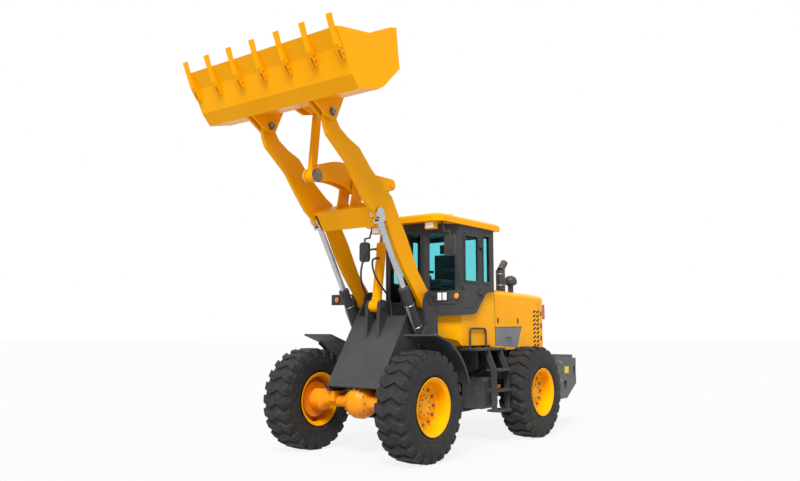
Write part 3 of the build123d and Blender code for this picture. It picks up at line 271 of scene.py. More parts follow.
def placed_group(tree, group, **values):
    """One of the effect groups inside a material, with its own values."""
    made = tree.nodes.new("ShaderNodeGroup")
    made.node_tree = group
    for label, value in values.items():
        made.inputs[label.replace("_", " ")].default_value = value
    return made


def enamel(name, fresh, faded, rough=(0.30, 0.42), dusty=0.35, chips=0.35, under=primer, coat=0.05):
    """Sprayed paint: faded in patches, dusty low down, chipped along its edges."""
    finish, tree, paint = new_finish(name)
    weather = placed_group(tree, weathering)
    edges = placed_group(tree, edge_wear, Radius=0.005)
    color = mix_colors(tree, weather.outputs["Fade"], fresh, faded)
    color = mix_colors(tree, scaled(tree, weather.outputs["Dust"], dusty), color, road_dust)
    color = mix_colors(tree, scaled(tree, edges.outputs["Mask"], chips), color, under)
    set_sockets(paint, {
        "Base Color": color,
        "Normal": raised(tree, weather.outputs["Ripple"], 0.12, 0.0006, edges.outputs["Normal"]),
        "Roughness": remap(tree, weather.outputs["Dust"], 0.0, 1.0, *rough),
        "Coat Weight": coat, "Coat Roughness": 0.12, "Specular IOR Level": 0.07,
    })
    return finish


grey_enamel = enamel("grey_enamel", grey, grey_faded, rough=(0.42, 0.62), dusty=0.22, under=bare_steel)


def finish_nodes(finish, *names):
    """Gives CAD nodes their finish."""
    for name in names:
        for slot in nodes[name].material_slots:
            slot.material = finish


finish_nodes(
    grey_enamel, "front_frame", "rear_frame", "front_fenders", "ladders", "cab_shell",
    "cab_door_left", "cab_door_right", "lift_barrel_left", "lift_barrel_right",
    "steer_barrel_left", "steer_barrel_right", "radiator_grille",
)

# ---------------------------------------------------------------- counterweight
# One iron casting bolted to the tail of the rear frame, coarser than the plate work and
# sprayed in the same grey.
casting_enamel, tree, casting = new_finish("casting_enamel")
weather = placed_group(tree, weathering)
edges = placed_group(tree, edge_wear, Radius=0.012)
cast_grain = noise(tree, 90.0, 6.0, 0.7)
color = mix_colors(tree, weather.outputs["Fade"], (0.070, 0.070, 0.072, 1), (0.088, 0.087, 0.086, 1))
color = mix_colors(tree, scaled(tree, weather.outputs["Dust"], 0.3), color, road_dust)
color = mix_colors(tree, scaled(tree, edges.outputs["Mask"], 0.4), color, bare_steel)
set_sockets(casting, {
    "Base Color": color, "Normal": raised(tree, cast_grain, 0.5, 0.003, edges.outputs["Normal"]),
    "Roughness": remap(tree, cast_grain, 0.3, 0.7, 0.5, 0.68),
})
finish_nodes(casting_enamel, "counterweight")

# ---------------------------------------------------------------- yellow sheet and plate
# Bucket, boom, bellcrank, tilt cylinder, hood, cab base, roof and rims: sprayed in a warm
# yellow with a smoother skin than the grey, paler where the sun has bleached it.
yellow = (0.93, 0.380, 0.0, 1)
yellow_faded = (0.95, 0.410, 0.0, 1)
yellow_enamel = enamel(
    "yellow_enamel", yellow, yellow_faded, rough=(0.30, 0.5), dusty=0.02, chips=0.10, coat=0.03,
)
finish_nodes(
    yellow_enamel, "boom_arm_left", "boom_arm_right", "boom_cross_box", "bellcrank", "bucket_link",
    "tilt_barrel", "bucket", "bucket_teeth", "cab_base", "hood", "cab_roof",
    "rim_front_left", "rim_front_right", "rim_rear_left", "rim_rear_right",
)

# ---------------------------------------------------------------- axles
# Cast axle housings with their differential balls, in a deeper orange copy of the yellow enamel
# that chips down to the primer. The orange is painted shade: the yellow as it looks in the shade under the
# machine.
# painted shade: the yellow enamel darkened to orange for the axles
axle_shaded_yellow_enamel = enamel(
    "axle_shaded_yellow_enamel", (0.86, 0.26, 0.002, 1), (0.88, 0.29, 0.006, 1), rough=(0.30, 0.55), dusty=0.3,
    chips=0.2,
)
finish_nodes(axle_shaded_yellow_enamel, "front_axle", "rear_axle")

# ---------------------------------------------------------------- grey side panels
# Pressed steel covers on the hood's flanks beside the engine, sprayed in a lighter grey
# than the frame.
panel_enamel = enamel(
    "panel_enamel", (0.19, 0.19, 0.205, 1), (0.23, 0.23, 0.242, 1), rough=(0.36, 0.5), dusty=0.25,
    under=bare_steel,
)
finish_nodes(panel_enamel, "side_panels")

# ---------------------------------------------------------------- engine and gearbox
# The block between the rear frame's plates that stands for engine and gearbox: cast iron,
# filmed with oil and dust.
iron, tree, iron_shader = new_finish("oily_iron")
weather = placed_group(tree, weathering, Dust_Height=2.0)
oil = remap(tree, noise(tree, 7.0, 6.0), 0.4, 0.65)
color = mix_colors(tree, oil, (0.060, 0.058, 0.056, 1), (0.022, 0.020, 0.018, 1))
color = mix_colors(tree, scaled(tree, weather.outputs["Dust"], 0.5), color, road_dust)
set_sockets(iron_shader, {
    "Base Color": color, "Normal": raised(tree, noise(tree, 120.0), 0.4, 0.002), "Metallic": 0.3,
    "Roughness": remap(tree, oil, 0.0, 1.0, 0.72, 0.38),
})
finish_nodes(iron, "engine")

# ---------------------------------------------------------------- rods and pins
# The cylinders' rods are ground and hard chromed; the linkage's pins are turned steel,
# blackened and greased in their bores.
chrome, tree, chrome_shader = new_finish("hard_chrome")
grease = remap(tree, noise(tree, 11.0, 6.0), 0.48, 0.7)
grinding = noise(tree, 420.0, 2.0)
set_sockets(chrome_shader, {
    "Base Color": mix_colors(tree, scaled(tree, grease, 0.3), (0.50, 0.51, 0.52, 1), (0.36, 0.36, 0.35, 1)),
    "Metallic": 1.0, "Roughness": remap(tree, grease, 0.0, 1.0, 0.12, 0.32),
    "Normal": raised(tree, grinding, 0.05, 0.0004),
})
finish_nodes(
    chrome, "lift_rod_left", "lift_rod_right", "tilt_rod", "steer_rod_left", "steer_rod_right",
)
pin_steel, tree, pin_shader = new_finish("greased_steel")
grease = remap(tree, noise(tree, 26.0, 6.0), 0.42, 0.66)
set_sockets(pin_shader, {
    "Base Color": mix_colors(tree, grease, (0.27, 0.265, 0.26, 1), (0.07, 0.062, 0.05, 1)),
    "Metallic": 0.9, "Roughness": remap(tree, grease, 0.0, 1.0, 0.28, 0.5),
    "Normal": raised(tree, noise(tree, 200.0, 2.0), 0.2, 0.001),
})
finish_nodes(pin_steel, "bucket_pins", "bellcrank_pin", "link_pin")

# ---------------------------------------------------------------- exhaust stack
# Rolled steel tube that stands through the hood, sprayed dark and browned by heat towards
# its mouth.
heat_steel, tree, stack_shader = new_finish("heated_steel")
rise = shader(tree, "SeparateXYZ", {0: own_place(tree)}).outputs["Z"]
heat = remap(tree, rise, 2.25, 2.65)
blotches = noise(tree, 18.0, 6.0)
warm = scaled(tree, heat, blotches)
set_sockets(stack_shader, {
    "Base Color": mix_colors(tree, warm, (0.055, 0.055, 0.058, 1), (0.13, 0.085, 0.055, 1)),
    "Metallic": 0.5, "Roughness": remap(tree, blotches, 0.3, 0.7, 0.42, 0.6),
    "Normal": raised(tree, noise(tree, 160.0), 0.2, 0.001),
})
finish_nodes(heat_steel, "exhaust_stack")

# ---------------------------------------------------------------- moulded black plastic
# Lamp housings, mirror shells and the steering column, injection moulded in black
# polypropylene with a fine leather grain.
plastic, tree, plastic_shader = new_finish("black_plastic")
edges = placed_group(tree, edge_wear, Radius=0.004)
chalk = remap(tree, noise(tree, 6.0), 0.35, 0.7)
set_sockets(plastic_shader, {
    "Base Color": mix_colors(tree, chalk, (0.022, 0.022, 0.024, 1), (0.042, 0.042, 0.044, 1)),
    "Roughness": remap(tree, chalk, 0.0, 1.0, 0.45, 0.6),
    "Normal": raised(tree, cells(tree, 700.0), 0.25, 0.0005, edges.outputs["Normal"]),
})
finish_nodes(plastic, "headlamps", "mirrors", "steering_column")

# ---------------------------------------------------------------- cab glazing
# Panes of toughened glass with a green-blue tint, set in the cab's shell and its doors,
# with a thin film of dust in patches.
glazing, tree, glass_shader = new_finish("tinted_glass")
film = remap(tree, noise(tree, 9.0, 7.0, 0.7), 0.5, 0.8)
set_sockets(glass_shader, {
    "Base Color": mix_colors(tree, scaled(tree, film, 0.25), (0.36, 0.80, 0.83, 1), (0.55, 0.70, 0.68, 1)),
    "Roughness": remap(tree, film, 0.0, 1.0, 0.0, 0.06), "Transmission Weight": 1.0, "IOR": 1.12,
})
finish_nodes(glazing, "cab_glass", "door_glass_left", "door_glass_right")

# ---------------------------------------------------------------- tail lamps
# One lamp on each side of the radiator, moulded in red plastic with ribs across its lens
# and screwed on from behind.
lens_red, tree, lens_shader = new_finish("red_lens")
flutes = ribs(tree, 22.0, "Z")
set_sockets(lens_shader, {
    "Base Color": mix_colors(tree, flutes, (0.42, 0.012, 0.008, 1), (0.30, 0.008, 0.006, 1)),
    "Roughness": remap(tree, flutes, 0.0, 1.0, 0.12, 0.2), "Coat Weight": 0.6, "Coat Roughness": 0.05,
    "Normal": raised(tree, flutes, 0.4, 0.002),
})
finish_nodes(lens_red, "tail_lamps")

# ---------------------------------------------------------------- tyres
# Bias-ply earthmover tyres, 17.5-25: a moulded carcass with beads, a ribbed sidewall and
# deep zigzag traction lugs whose ends run down over the shoulder.
wheel_bodies = {
    f"{end}_{side}": f"wheel_{end}_{side}" for end in ("front", "rear") for side in ("left", "right")
}
lug_count = 24
carcass_steps = 120
rubber, tree, rubber_shader = new_finish("tyre_rubber")
weather = placed_group(tree, weathering, Dust_Height=1.6)
edges = placed_group(tree, edge_wear, Radius=0.012)
scuff = remap(tree, noise(tree, 30.0, 8.0, 0.7), 0.45, 0.72)
color = mix_colors(tree, scuff, (0.013, 0.013, 0.0135, 1), (0.030, 0.030, 0.029, 1))
color = mix_colors(tree, scaled(tree, edges.outputs["Mask"], 0.5), color, (0.085, 0.083, 0.08, 1))
color = mix_colors(tree, scaled(tree, weather.outputs["Dust"], 0.10), color, road_dust)
set_sockets(rubber_shader, {
    "Base Color": color, "Roughness": remap(tree, scuff, 0.0, 1.0, 0.62, 0.85), "Specular IOR Level": 0.25,
    "Normal": raised(tree, noise(tree, 240.0), 0.35, 0.002, edges.outputs["Normal"]),
})
# half section of the carcass from bead to crown, as radius and distance from the mid plane
carcass_half = [
    (0.3225, 0.150), (0.3235, 0.172), (0.332, 0.182), (0.346, 0.183), (0.354, 0.190), (0.372, 0.203),
    (0.395, 0.2125), (0.398, 0.2165), (0.410, 0.2175), (0.413, 0.2150), (0.440, 0.2190),
    (0.480, 0.2195), (0.520, 0.2150), (0.548, 0.2085), (0.552, 0.2110), (0.562, 0.2080),
    (0.566, 0.2010), (0.598, 0.1870), (0.622, 0.1740), (0.632, 0.1600), (0.636, 0.1300),
    (0.640, 0.0700), (0.641, 0.0),
]
# a lug's cross lines: place across the tread, swing of its middle, radius and half width
lug_lines = [
    (-0.2075, 0.030, 0.566, 0.040), (-0.1960, 0.031, 0.622, 0.044), (-0.1760, 0.031, 0.6655, 0.050),
    (-0.0600, -0.031, 0.6745, 0.050), (0.0600, 0.031, 0.6745, 0.050), (0.1760, -0.031, 0.6655, 0.050),
    (0.1960, -0.031, 0.622, 0.044), (0.2075, -0.030, 0.566, 0.040),
]
lug_depth = 0.050
lug_edge_round = 0.005
wall_lean = 0.25            # 0 where a lug's walls run straight down, 1 where they aim at the axle
shoulder_start = 0.18       # distance from the mid plane past which a lug runs down the shoulder
shoulder_sink = 0.004


def piece(name, bm, finish, body=None, smooth=math.radians(35)):
    """Turns a finished bmesh into a piece at the origin, riding on its body where one is given."""
    bmesh.ops.recalc_face_normals(bm, faces=bm.faces)
    mesh = bpy.data.meshes.new(name)
    bm.to_mesh(mesh)
    bm.free()
    made = bpy.data.objects.new(name, mesh)
    scene.collection.objects.link(made)
    mesh.materials.append(finish)
    mesh.shade_smooth()
    mesh.set_sharp_from_angle(angle=smooth)
    if body:
        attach(made, body)
    return made


def box_middle(name):
    """Middle of the box round a CAD node."""
    low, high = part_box(name)
    return (Vector(low) + Vector(high)) / 2


def tyre(center):
    """Carcass and lugs of a tyre about its axle at the given centre."""
    bm = bmesh.new()
    section = carcass_half + [(r, -y) for r, y in reversed(carcass_half[:-1])]
    ring = [bm.verts.new((0, y, -r)) for r, y in section]
    edges = [bm.edges.new(pair) for pair in zip(ring, ring[1:] + ring[:1])]
    bmesh.ops.spin(
        bm, geom=ring + edges, cent=(0, 0, 0), axis=(0, 1, 0), angle=math.tau,
        steps=carcass_steps, use_merge=True,
    )
    before = set(bm.faces)
    rows = []
    for across, swing, radius, half_width in lug_lines:
        z = shoulder_sink - radius
        if abs(across) < shoulder_start:
            z = -math.sqrt(max(radius ** 2 - (abs(swing) + half_width) ** 2, 0))
        rows.append([bm.verts.new((swing + s * half_width, across, z)) for s in (-1, 1)])
    top = [bm.faces.new((a[0], a[1], b[1], b[0])) for a, b in zip(rows, rows[1:])]
    foot = bmesh.ops.extrude_face_region(bm, geom=top)
    for v in foot["geom"]:
        if isinstance(v, bmesh.types.BMVert):
            v.co -= Vector((v.co.x * wall_lean, 0, v.co.z)).normalized() * lug_depth
    lug = [f for f in bm.faces if f not in before]
    bmesh.ops.recalc_face_normals(bm, faces=lug)
    rim_edges = [
        e for f in top for e in f.edges if e.is_valid and sum(g in top for g in e.link_faces) == 1
    ]
    bmesh.ops.bevel(
        bm, geom=list(set(rim_edges)), offset=lug_edge_round, segments=2, profile=0.5,
        affect="EDGES", material=-1,
    )
    lug_geometry = [f for f in bm.faces if f not in before]
    lug_geometry += list(
        {v for f in lug_geometry for v in f.verts} | {e for f in lug_geometry for e in f.edges}
    )
    bmesh.ops.spin(
        bm, geom=lug_geometry, cent=(0, 0, 0), axis=(0, 1, 0),
        angle=math.tau * (lug_count - 1) / lug_count, steps=lug_count - 1, use_duplicate=True,
    )
    bmesh.ops.translate(bm, verts=bm.verts, vec=center)
    return bm


for place_name, body in wheel_bodies.items():
    node_name = f"tyre_{place_name}"
    center = box_middle(node_name)
    center.x = box_middle(f"rim_{place_name}").x
    made = piece(f"lugged_tyre_{place_name}", tyre(center), rubber, body)
    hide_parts(node_name)

# ---------------------------------------------------------------- wheel nuts
# Each wheel's disc is held to the hub by a circle of hexagon nuts with washers, and the
# planet carrier's cover in its middle by a smaller circle of bolts, all zinc plated.
nut_circle, nut_count, nut_size, nut_height, nut_face = 0.215, 12, 0.017, 0.026, 0.038
cover_circle, cover_count, cover_size, cover_height, cover_face = 0.100, 8, 0.011, 0.014, 0.072
cover_turn = 0.2
washer_share, washer_spread, head_taper = 0.22, 1.35, 0.97
bolt_finish, tree, bolt_shader = new_finish("zinc_fastener")
rust = remap(tree, noise(tree, 60.0, 6.0), 0.5, 0.75)
set_sockets(bolt_shader, {
    "Base Color": mix_colors(tree, rust, (0.32, 0.31, 0.29, 1), (0.20, 0.13, 0.08, 1)),
    "Metallic": 0.85, "Roughness": remap(tree, rust, 0.0, 1.0, 0.34, 0.6),
})


def hex_head(bm, place, axis, size, height):
    """A hexagon head standing on a washer at the place, along the axis."""
    turn = Vector(axis).to_track_quat("Z", "Y").to_matrix().to_4x4()
    washer = height * washer_share
    for radius, low, high, sides in ((size * washer_spread, 0, washer, 16), (size, washer, height, 6)):
        lift = Matrix.Translation((0, 0, (low + high) / 2))
        bmesh.ops.create_cone(
            bm, cap_ends=True, segments=sides, radius1=radius, radius2=radius * head_taper,
            depth=high - low, matrix=Matrix.Translation(place) @ turn @ lift,
        )


def arc(center, first, second, count, start=0.0, span=math.tau):
    """Places round a centre, from the first half diameter towards the second."""
    turns = [start + span * k / count for k in range(count)]
    return [Vector(center) + Vector(first) * math.cos(t) + Vector(second) * math.sin(t) for t in turns]


def ring_of_heads(bm, center, radius, count, axis, size, height, start=0.0):
    """Hexagon heads on a circle about an axis that runs sideways or lengthwise."""
    first = Vector((radius, 0, 0)) if axis[1] else Vector((0, radius, 0))
    for place in arc(center, first, (0, 0, radius), count, start):
        hex_head(bm, place, axis, size, height)


for place_name, body in wheel_bodies.items():
    s = 1 if place_name.endswith("left") else -1
    center = box_middle(f"tyre_{place_name}")
    out = Vector((0, s, 0))
    bm = bmesh.new()
    ring_of_heads(bm, center + out * nut_face, nut_circle, nut_count, out, nut_size, nut_height)
    ring_of_heads(
        bm, center + out * cover_face, cover_circle, cover_count, out, cover_size, cover_height, cover_turn,
    )
    piece(f"wheel_nuts_{place_name}", bm, bolt_finish, body)

# ---------------------------------------------------------------- tilt cylinder hoses
# Two rubber hoses with a woven cover that feed the tilt cylinder. Each leaves a port on the
# barrel, hangs in a loose bow and ends in a fitting on the plate of the front frame.
hose_radius = 0.013
hose_rubber, tree, hose_shader = new_finish("hose_rubber")
powder = remap(tree, noise(tree, 14.0, 6.0), 0.45, 0.75)
set_sockets(hose_shader, {
    "Base Color": mix_colors(
        tree, scaled(tree, powder, 0.5), (0.016, 0.016, 0.017, 1), (0.055, 0.053, 0.05, 1),
    ),
    "Roughness": remap(tree, powder, 0.0, 1.0, 0.5, 0.7),
    "Normal": raised(tree, ribs(tree, 60.0, "DIAGONAL", 1.5), 0.25, 0.0006),
})
hose_points = {
    "right": [
        (0.970, -0.035, 2.663), (1.105, -0.035, 2.663), (1.170, -0.080, 2.525), (1.182, -0.120, 2.365),
        (1.135, -0.150, 2.200), (1.020, -0.168, 2.060), (0.890, -0.172, 1.950), (0.890, -0.172, 1.790),
    ],
    "left": [
        (0.988, 0.035, 2.535), (1.125, 0.035, 2.535), (1.180, 0.075, 2.410), (1.160, 0.115, 2.270),
        (1.060, 0.150, 2.130), (0.890, 0.172, 1.985), (0.890, 0.172, 1.790),
    ],
}


def spline_points(name, route):
    """Points along the smooth line that a route gives."""
    line = bpy.data.curves.new(name, "CURVE")
    line.dimensions = "3D"
    line.resolution_u = 16
    spline = line.splines.new("NURBS")
    spline.points.add(len(route) - 1)
    for point, place in zip(spline.points, route):
        point.co = (*place, 1)
    spline.order_u = 3
    spline.use_endpoint_u = True
    carrier = bpy.data.objects.new(name, line)
    scene.collection.objects.link(carrier)
    bpy.context.view_layer.update()
    mesh = bpy.data.meshes.new_from_object(carrier)
    points = [v.co.copy() for v in mesh.vertices]
    bpy.data.objects.remove(carrier)
    bpy.data.meshes.remove(mesh)
    return points


def sweep_round(bm, points, radii, sides=12, closed=False):
    """A round skin along the points, with its radius at each of them."""
    normal = (points[1] - points[0]).orthogonal().normalized()
    rings = []
    for i, point in enumerate(points):
        ahead = points[(i + 1) % len(points)] if closed else points[min(i + 1, len(points) - 1)]
        behind = points[i - 1] if closed or i else points[0]
        along = (ahead - behind).normalized()
        normal = (normal - along * normal.dot(along)).normalized()
        side = along.cross(normal)
        radius = radii[i] if isinstance(radii, list) else radii
        rings.append([
            bm.verts.new(point + (normal * math.cos(t) + side * math.sin(t)) * radius)
            for t in (math.tau * k / sides for k in range(sides))
        ])
    pairs = list(zip(rings, rings[1:])) + ([(rings[-1], rings[0])] if closed else [])
    for low, high in pairs:
        for k in range(sides):
            bm.faces.new((low[k], low[(k + 1) % sides], high[(k + 1) % sides], high[k]))
    if not closed:
        bm.faces.new(rings[0][::-1])
        bm.faces.new(rings[-1])


for hand, route in hose_points.items():
    path = spline_points(f"hose_line_{hand}", route)
    bm = bmesh.new()
    sweep_round(bm, path, hose_radius, sides=20)
    hose = piece(f"tilt_hose_skin_{hand}", bm, hose_rubber)
    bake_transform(hose)
    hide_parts(f"tilt_hose_{hand}")

# ---------------------------------------------------------------- operator's seat
# Foam base, back and head cushions in a pleated black woven cover, on a moulded shell with
# an arm rest at each side, which stands on a folded bellows and a foot plate.
seat_cloth, tree, cloth_shader = new_finish("seat_cloth")
thread = cells(tree, 420.0)
worn = remap(tree, noise(tree, 5.0, 5.0), 0.4, 0.7)
set_sockets(cloth_shader, {
    "Base Color": mix_colors(tree, worn, (0.030, 0.031, 0.034, 1), (0.060, 0.061, 0.064, 1)),
    "Roughness": remap(tree, thread, 0.0, 0.6, 0.75, 0.95), "Sheen Weight": 0.25,
    "Normal": raised(tree, thread, 0.5, 0.0008),
})
corner_start = 0.72         # of a cushion's half size, where its corners begin to draw in
corner_pull = 0.10
pleat_height = 0.04


def cushion(name, low, high, crown_axis, crown):
    """A crowned foam cushion that fills a box, with shallow pleats across it."""
    bm = bmesh.new()
    low, high = Vector(low), Vector(high)
    middle, half = (low + high) / 2, (high - low) / 2
    bmesh.ops.create_cube(bm, size=2.0)
    bmesh.ops.subdivide_edges(bm, edges=bm.edges[:], cuts=9, use_grid_fill=True)
    others = [i for i in range(3) if i != crown_axis]
    for v in bm.verts:
        unit = v.co.copy()
        outness = abs(unit[crown_axis])
        bulge = math.prod(math.cos(unit[i] * math.pi / 2) ** 0.5 if abs(unit[i]) < 1 else 0 for i in others)
        for i in others:
            drawn = max(abs(unit[i]) - corner_start, 0) / (1 - corner_start)
            v.co[i] = math.copysign(abs(unit[i]) - corner_pull * drawn ** 2 * outness, unit[i])
        pleat = pleat_height * math.cos(unit[others[1]] * math.pi * 3) if outness > 0.99 else 0
        v.co[crown_axis] = unit[crown_axis] * (1 - crown + (crown + pleat) * bulge)
        v.co = Vector(v.co[i] * half[i] for i in range(3)) + middle
    made = piece(name, bm, seat_cloth, "rear_machine", smooth=math.radians(60))
    return made


def rounded_box(bm, low, high, round_off=0.006, segments=2):
    """A box with rounded edges between two corners."""
    low, high = Vector(low), Vector(high)
    made = bmesh.ops.create_cube(
        bm, size=1.0, matrix=Matrix.Translation((low + high) / 2) @ Matrix.Diagonal((*(high - low), 1)),
    )
    edges = list({e for v in made["verts"] for e in v.link_edges})
    bmesh.ops.bevel(
        bm, geom=edges, offset=round_off, segments=segments, profile=0.5, affect="EDGES", material=-1,
    )


seat_base = cushion("seat_base_cushion", (-0.640, -0.235, 2.200), (-0.175, 0.235, 2.325), 2, 0.30)
seat_back = cushion("seat_back_cushion", (-0.765, -0.225, 2.330), (-0.640, 0.225, 2.720), 0, 0.35)
head_rest = cushion("seat_head_rest", (-0.755, -0.130, 2.735), (-0.665, 0.130, 2.875), 0, 0.35)
bm = bmesh.new()
rounded_box(bm, (-0.640, -0.215, 2.150), (-0.200, 0.215, 2.198), 0.015)
rounded_box(bm, (-0.769, -0.205, 2.200), (-0.745, 0.205, 2.700), 0.010)
fold_count, fold_pitch = 8, 0.030
for fold in range(fold_count):
    low = 1.905 + fold_pitch * fold
    rounded_box(bm, (-0.600, -0.180, low), (-0.230, 0.180, low + 0.026), 0.010)
rounded_box(bm, (-0.620, -0.200, 1.845), (-0.210, 0.200, 1.900), 0.008)
for s in (-1, 1):
    rounded_box(bm, (-0.640, s * 0.215 - 0.022, 2.440), (-0.330, s * 0.215 + 0.022, 2.480), 0.014)
seat_frame = piece("seat_shell_and_bellows", bm, plastic, "rear_machine")
for made in (seat_base, seat_back, head_rest, seat_frame):
    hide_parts("operator_seat")

# ---------------------------------------------------------------- driving controls
# A side console with two pilot levers on flared boots, two floor pedals and an instrument
# pod by the steering column, all moulded in black plastic.
bm = bmesh.new()
rounded_box(bm, (-0.560, -0.440, 1.850), (-0.180, -0.290, 2.400), 0.020)
rounded_box(bm, (0.030, -0.170, 2.330), (0.075, 0.170, 2.440), 0.015)
for y in (-0.400, -0.340):
    lever = [Vector((-0.230, y, 2.400)), Vector((-0.222, y, 2.480)), Vector((-0.232, y, 2.560))]
    sweep_round(bm, lever, [0.026, 0.010, 0.008], sides=10)
    bmesh.ops.create_uvsphere(
        bm, u_segments=12, v_segments=8, radius=0.021, matrix=Matrix.Translation(lever[-1]),
    )
for y in (-0.120, 0.090):
    rounded_box(bm, (0.120, y, 1.905), (0.150, y + 0.075, 2.010), 0.006)
piece("cab_controls", bm, plastic, "rear_machine")

# ---------------------------------------------------------------- window gaskets
# Extruded black rubber strip of one section, bent round the corners of each opening and
# pressed over the edge of its pane.
gasket_rubber, tree, gasket_shader = new_finish("gasket_rubber")
bloom = remap(tree, noise(tree, 22.0, 6.0), 0.45, 0.7)
set_sockets(gasket_shader, {
    "Base Color": mix_colors(tree, bloom, (0.012, 0.012, 0.013, 1), (0.035, 0.035, 0.035, 1)),
    "Roughness": remap(tree, bloom, 0.0, 1.0, 0.45, 0.7),
    "Normal": raised(tree, noise(tree, 300.0, 2.0), 0.15, 0.0005),
})
gasket_profile = [
    (-0.016, -0.008), (-0.016, 0.006), (-0.006, 0.010), (0.006, 0.010), (0.016, 0.006), (0.016, -0.008),
]


def rounded_loop(width, height, corner, steps=8):
    """Points round a rectangle with round corners, about the origin."""
    points = []
    for i, (sx, sy) in enumerate(((1, 1), (-1, 1), (-1, -1), (1, -1))):
        for k in range(steps + 1):
            turn = math.pi / 2 * (i + k / steps)
            points.append(Vector((
                sx * (width / 2 - corner) + corner * math.cos(turn),
                sy * (height / 2 - corner) + corner * math.sin(turn), 0,
            )))
    return points


def gasket(bm, middle, along, out, width, height, corner=0.040):
    """A rubber profile round an opening whose middle, width direction and outward side are given."""
    along, out = Vector(along).normalized(), Vector(out).normalized()
    frame_turn = Matrix((along, out.cross(along), out)).transposed()
    loop = rounded_loop(width, height, corner)
    rings = []
    for i, point in enumerate(loop):
        tangent = (loop[(i + 1) % len(loop)] - loop[i - 1]).normalized()
        side = Vector((tangent.y, -tangent.x, 0))
        rings.append([
            bm.verts.new(Vector(middle) + frame_turn @ (point + side * u + Vector((0, 0, w))))
            for u, w in gasket_profile
        ])
    for a, b in zip(rings, rings[1:] + rings[:1]):
        for k in range(len(gasket_profile)):
            n = (k + 1) % len(gasket_profile)
            bm.faces.new((a[k], a[n], b[n], b[k]))


bm = bmesh.new()
gasket(bm, (0.350, 0, 2.440), (0, 1, 0), (1, 0, 0), 0.560, 0.980)
gasket(bm, (-0.980, 0, 2.6175), (0, 1, 0), (-1, 0, 0), 1.100, 0.705)
for s in (-1, 1):
    gasket(bm, (-0.765, s * 0.650, 2.6175), (1, 0, 0), (0, s, 0), 0.190, 0.705)
    run = Vector((-0.390, s * 0.320, 0))
    out = Vector((0.320, s * 0.390, 0)).normalized()
    gasket(bm, Vector((0.155, s * 0.490, 2.440)), run, out, run.length - 0.110, 0.980)
piece("window_gaskets", bm, gasket_rubber, "rear_machine")
for s, hand in ((1, "left"), (-1, "right")):
    bm = bmesh.new()
    gasket(bm, (-0.355, s * 0.650, 2.600), (1, 0, 0), (0, s, 0), 0.360, 0.670)
    piece(f"door_gasket_{hand}", bm, gasket_rubber, f"door_{hand}")

# ---------------------------------------------------------------- windscreen wiper
# A tapered black arm on a turned spindle below the windscreen, with a straight blade that
# stands upright before the glass.


def turned_disc(bm, place, lie, radii, height, segments=20):
    """A short round piece with two end radii: upright where lie is Z, else laid over about that axis."""
    over = Matrix.Rotation(0 if lie == "Z" else math.pi / 2, 4, lie)
    bmesh.ops.create_cone(
        bm, cap_ends=True, segments=segments, radius1=radii[0], radius2=radii[1], depth=height,
        matrix=Matrix.Translation(place) @ over,
    )


bm = bmesh.new()
turned_disc(bm, (0.364, -0.060, 1.915), "Y", (0.018, 0.014), 0.030)
sweep_round(bm, [Vector(p) for p in (
    (0.372, -0.060, 1.915), (0.380, -0.050, 2.060), (0.376, -0.020, 2.300), (0.368, 0.000, 2.400),
)], [0.009, 0.007, 0.005, 0.004], sides=8)
rounded_box(bm, (0.352, -0.004, 2.130), (0.368, 0.006, 2.680), 0.002)
piece("windscreen_wiper", bm, plastic, "rear_machine")

# ---------------------------------------------------------------- door handles and locks
# Black paddle latches on a thin back plate, one screwed to each door behind its window,
# with a round lock cylinder at the lower edge.
for s, hand in ((1, "left"), (-1, "right")):
    bm = bmesh.new()
    rounded_box(bm, (-0.200, s * 0.652 - 0.004, 2.140), (-0.095, s * 0.652 + 0.004, 2.215), 0.003)
    rounded_box(bm, (-0.190, s * 0.662 - 0.008, 2.165), (-0.105, s * 0.662 + 0.008, 2.195), 0.005)
    turned_disc(bm, (-0.148, s * 0.655, 2.150), "X", (0.011, 0.010), 0.014)
    piece(f"door_latch_{hand}", bm, plastic, f"door_{hand}")

# ---------------------------------------------------------------- lamps and beacon
# Fluted clear lenses on the headlamps and the work lamps, and amber lenses on the indicators
# and the beacon, all moulded in polycarbonate and clipped to their housings.


def lens_finish(name, tint, deep, glow):
    """Fluted moulded lens that glows a little, as a reflector behind it would make it."""
    finish, tree, lens = new_finish(name)
    flutes = ribs(tree, 36.0, "Y")
    color = mix_colors(tree, flutes, tint, deep)
    set_sockets(lens, {
        "Base Color": color, "Roughness": remap(tree, flutes, 0.0, 1.0, 0.06, 0.16),
        "Coat Weight": 0.7, "Coat Roughness": 0.03, "Emission Color": color, "Emission Strength": glow,
        "Normal": raised(tree, flutes, 0.35, 0.0015),
    })
    return finish


clear_lens = lens_finish("clear_lens", (0.86, 0.88, 0.90, 1), (0.62, 0.65, 0.68, 1), 0.12)
amber_lens = lens_finish("amber_lens", (0.90, 0.27, 0.01, 1), (0.66, 0.16, 0.005, 1), 0.10)
for s, hand in ((1, "left"), (-1, "right")):
    bm = bmesh.new()
    for y in (0.770, 0.850):
        rounded_box(bm, (0.630, s * y - 0.031, 1.968), (0.645, s * y + 0.031, 2.068), 0.006, 3)
    piece(f"headlamp_lens_{hand}", bm, clear_lens, "front_machine")
    bm = bmesh.new()
    bmesh.ops.create_uvsphere(
        bm, u_segments=24, v_segments=12, radius=0.038,
        matrix=Matrix.Translation((0.637, s * 1.030, 2.018)) @ Matrix.Diagonal((0.35, 1, 1, 1)),
    )
    piece(f"indicator_lens_{hand}", bm, amber_lens, "front_machine")
bm = bmesh.new()
for s in (-1, 1):
    rounded_box(bm, (0.434, s * 0.470 - 0.062, 2.972), (0.441, s * 0.470 + 0.062, 3.048), 0.003)
piece("work_lamp_lens", bm, clear_lens, "rear_machine")
beacon_middle = Vector((-0.380, 0.250, 0))
beacon_clearance = 0.0012
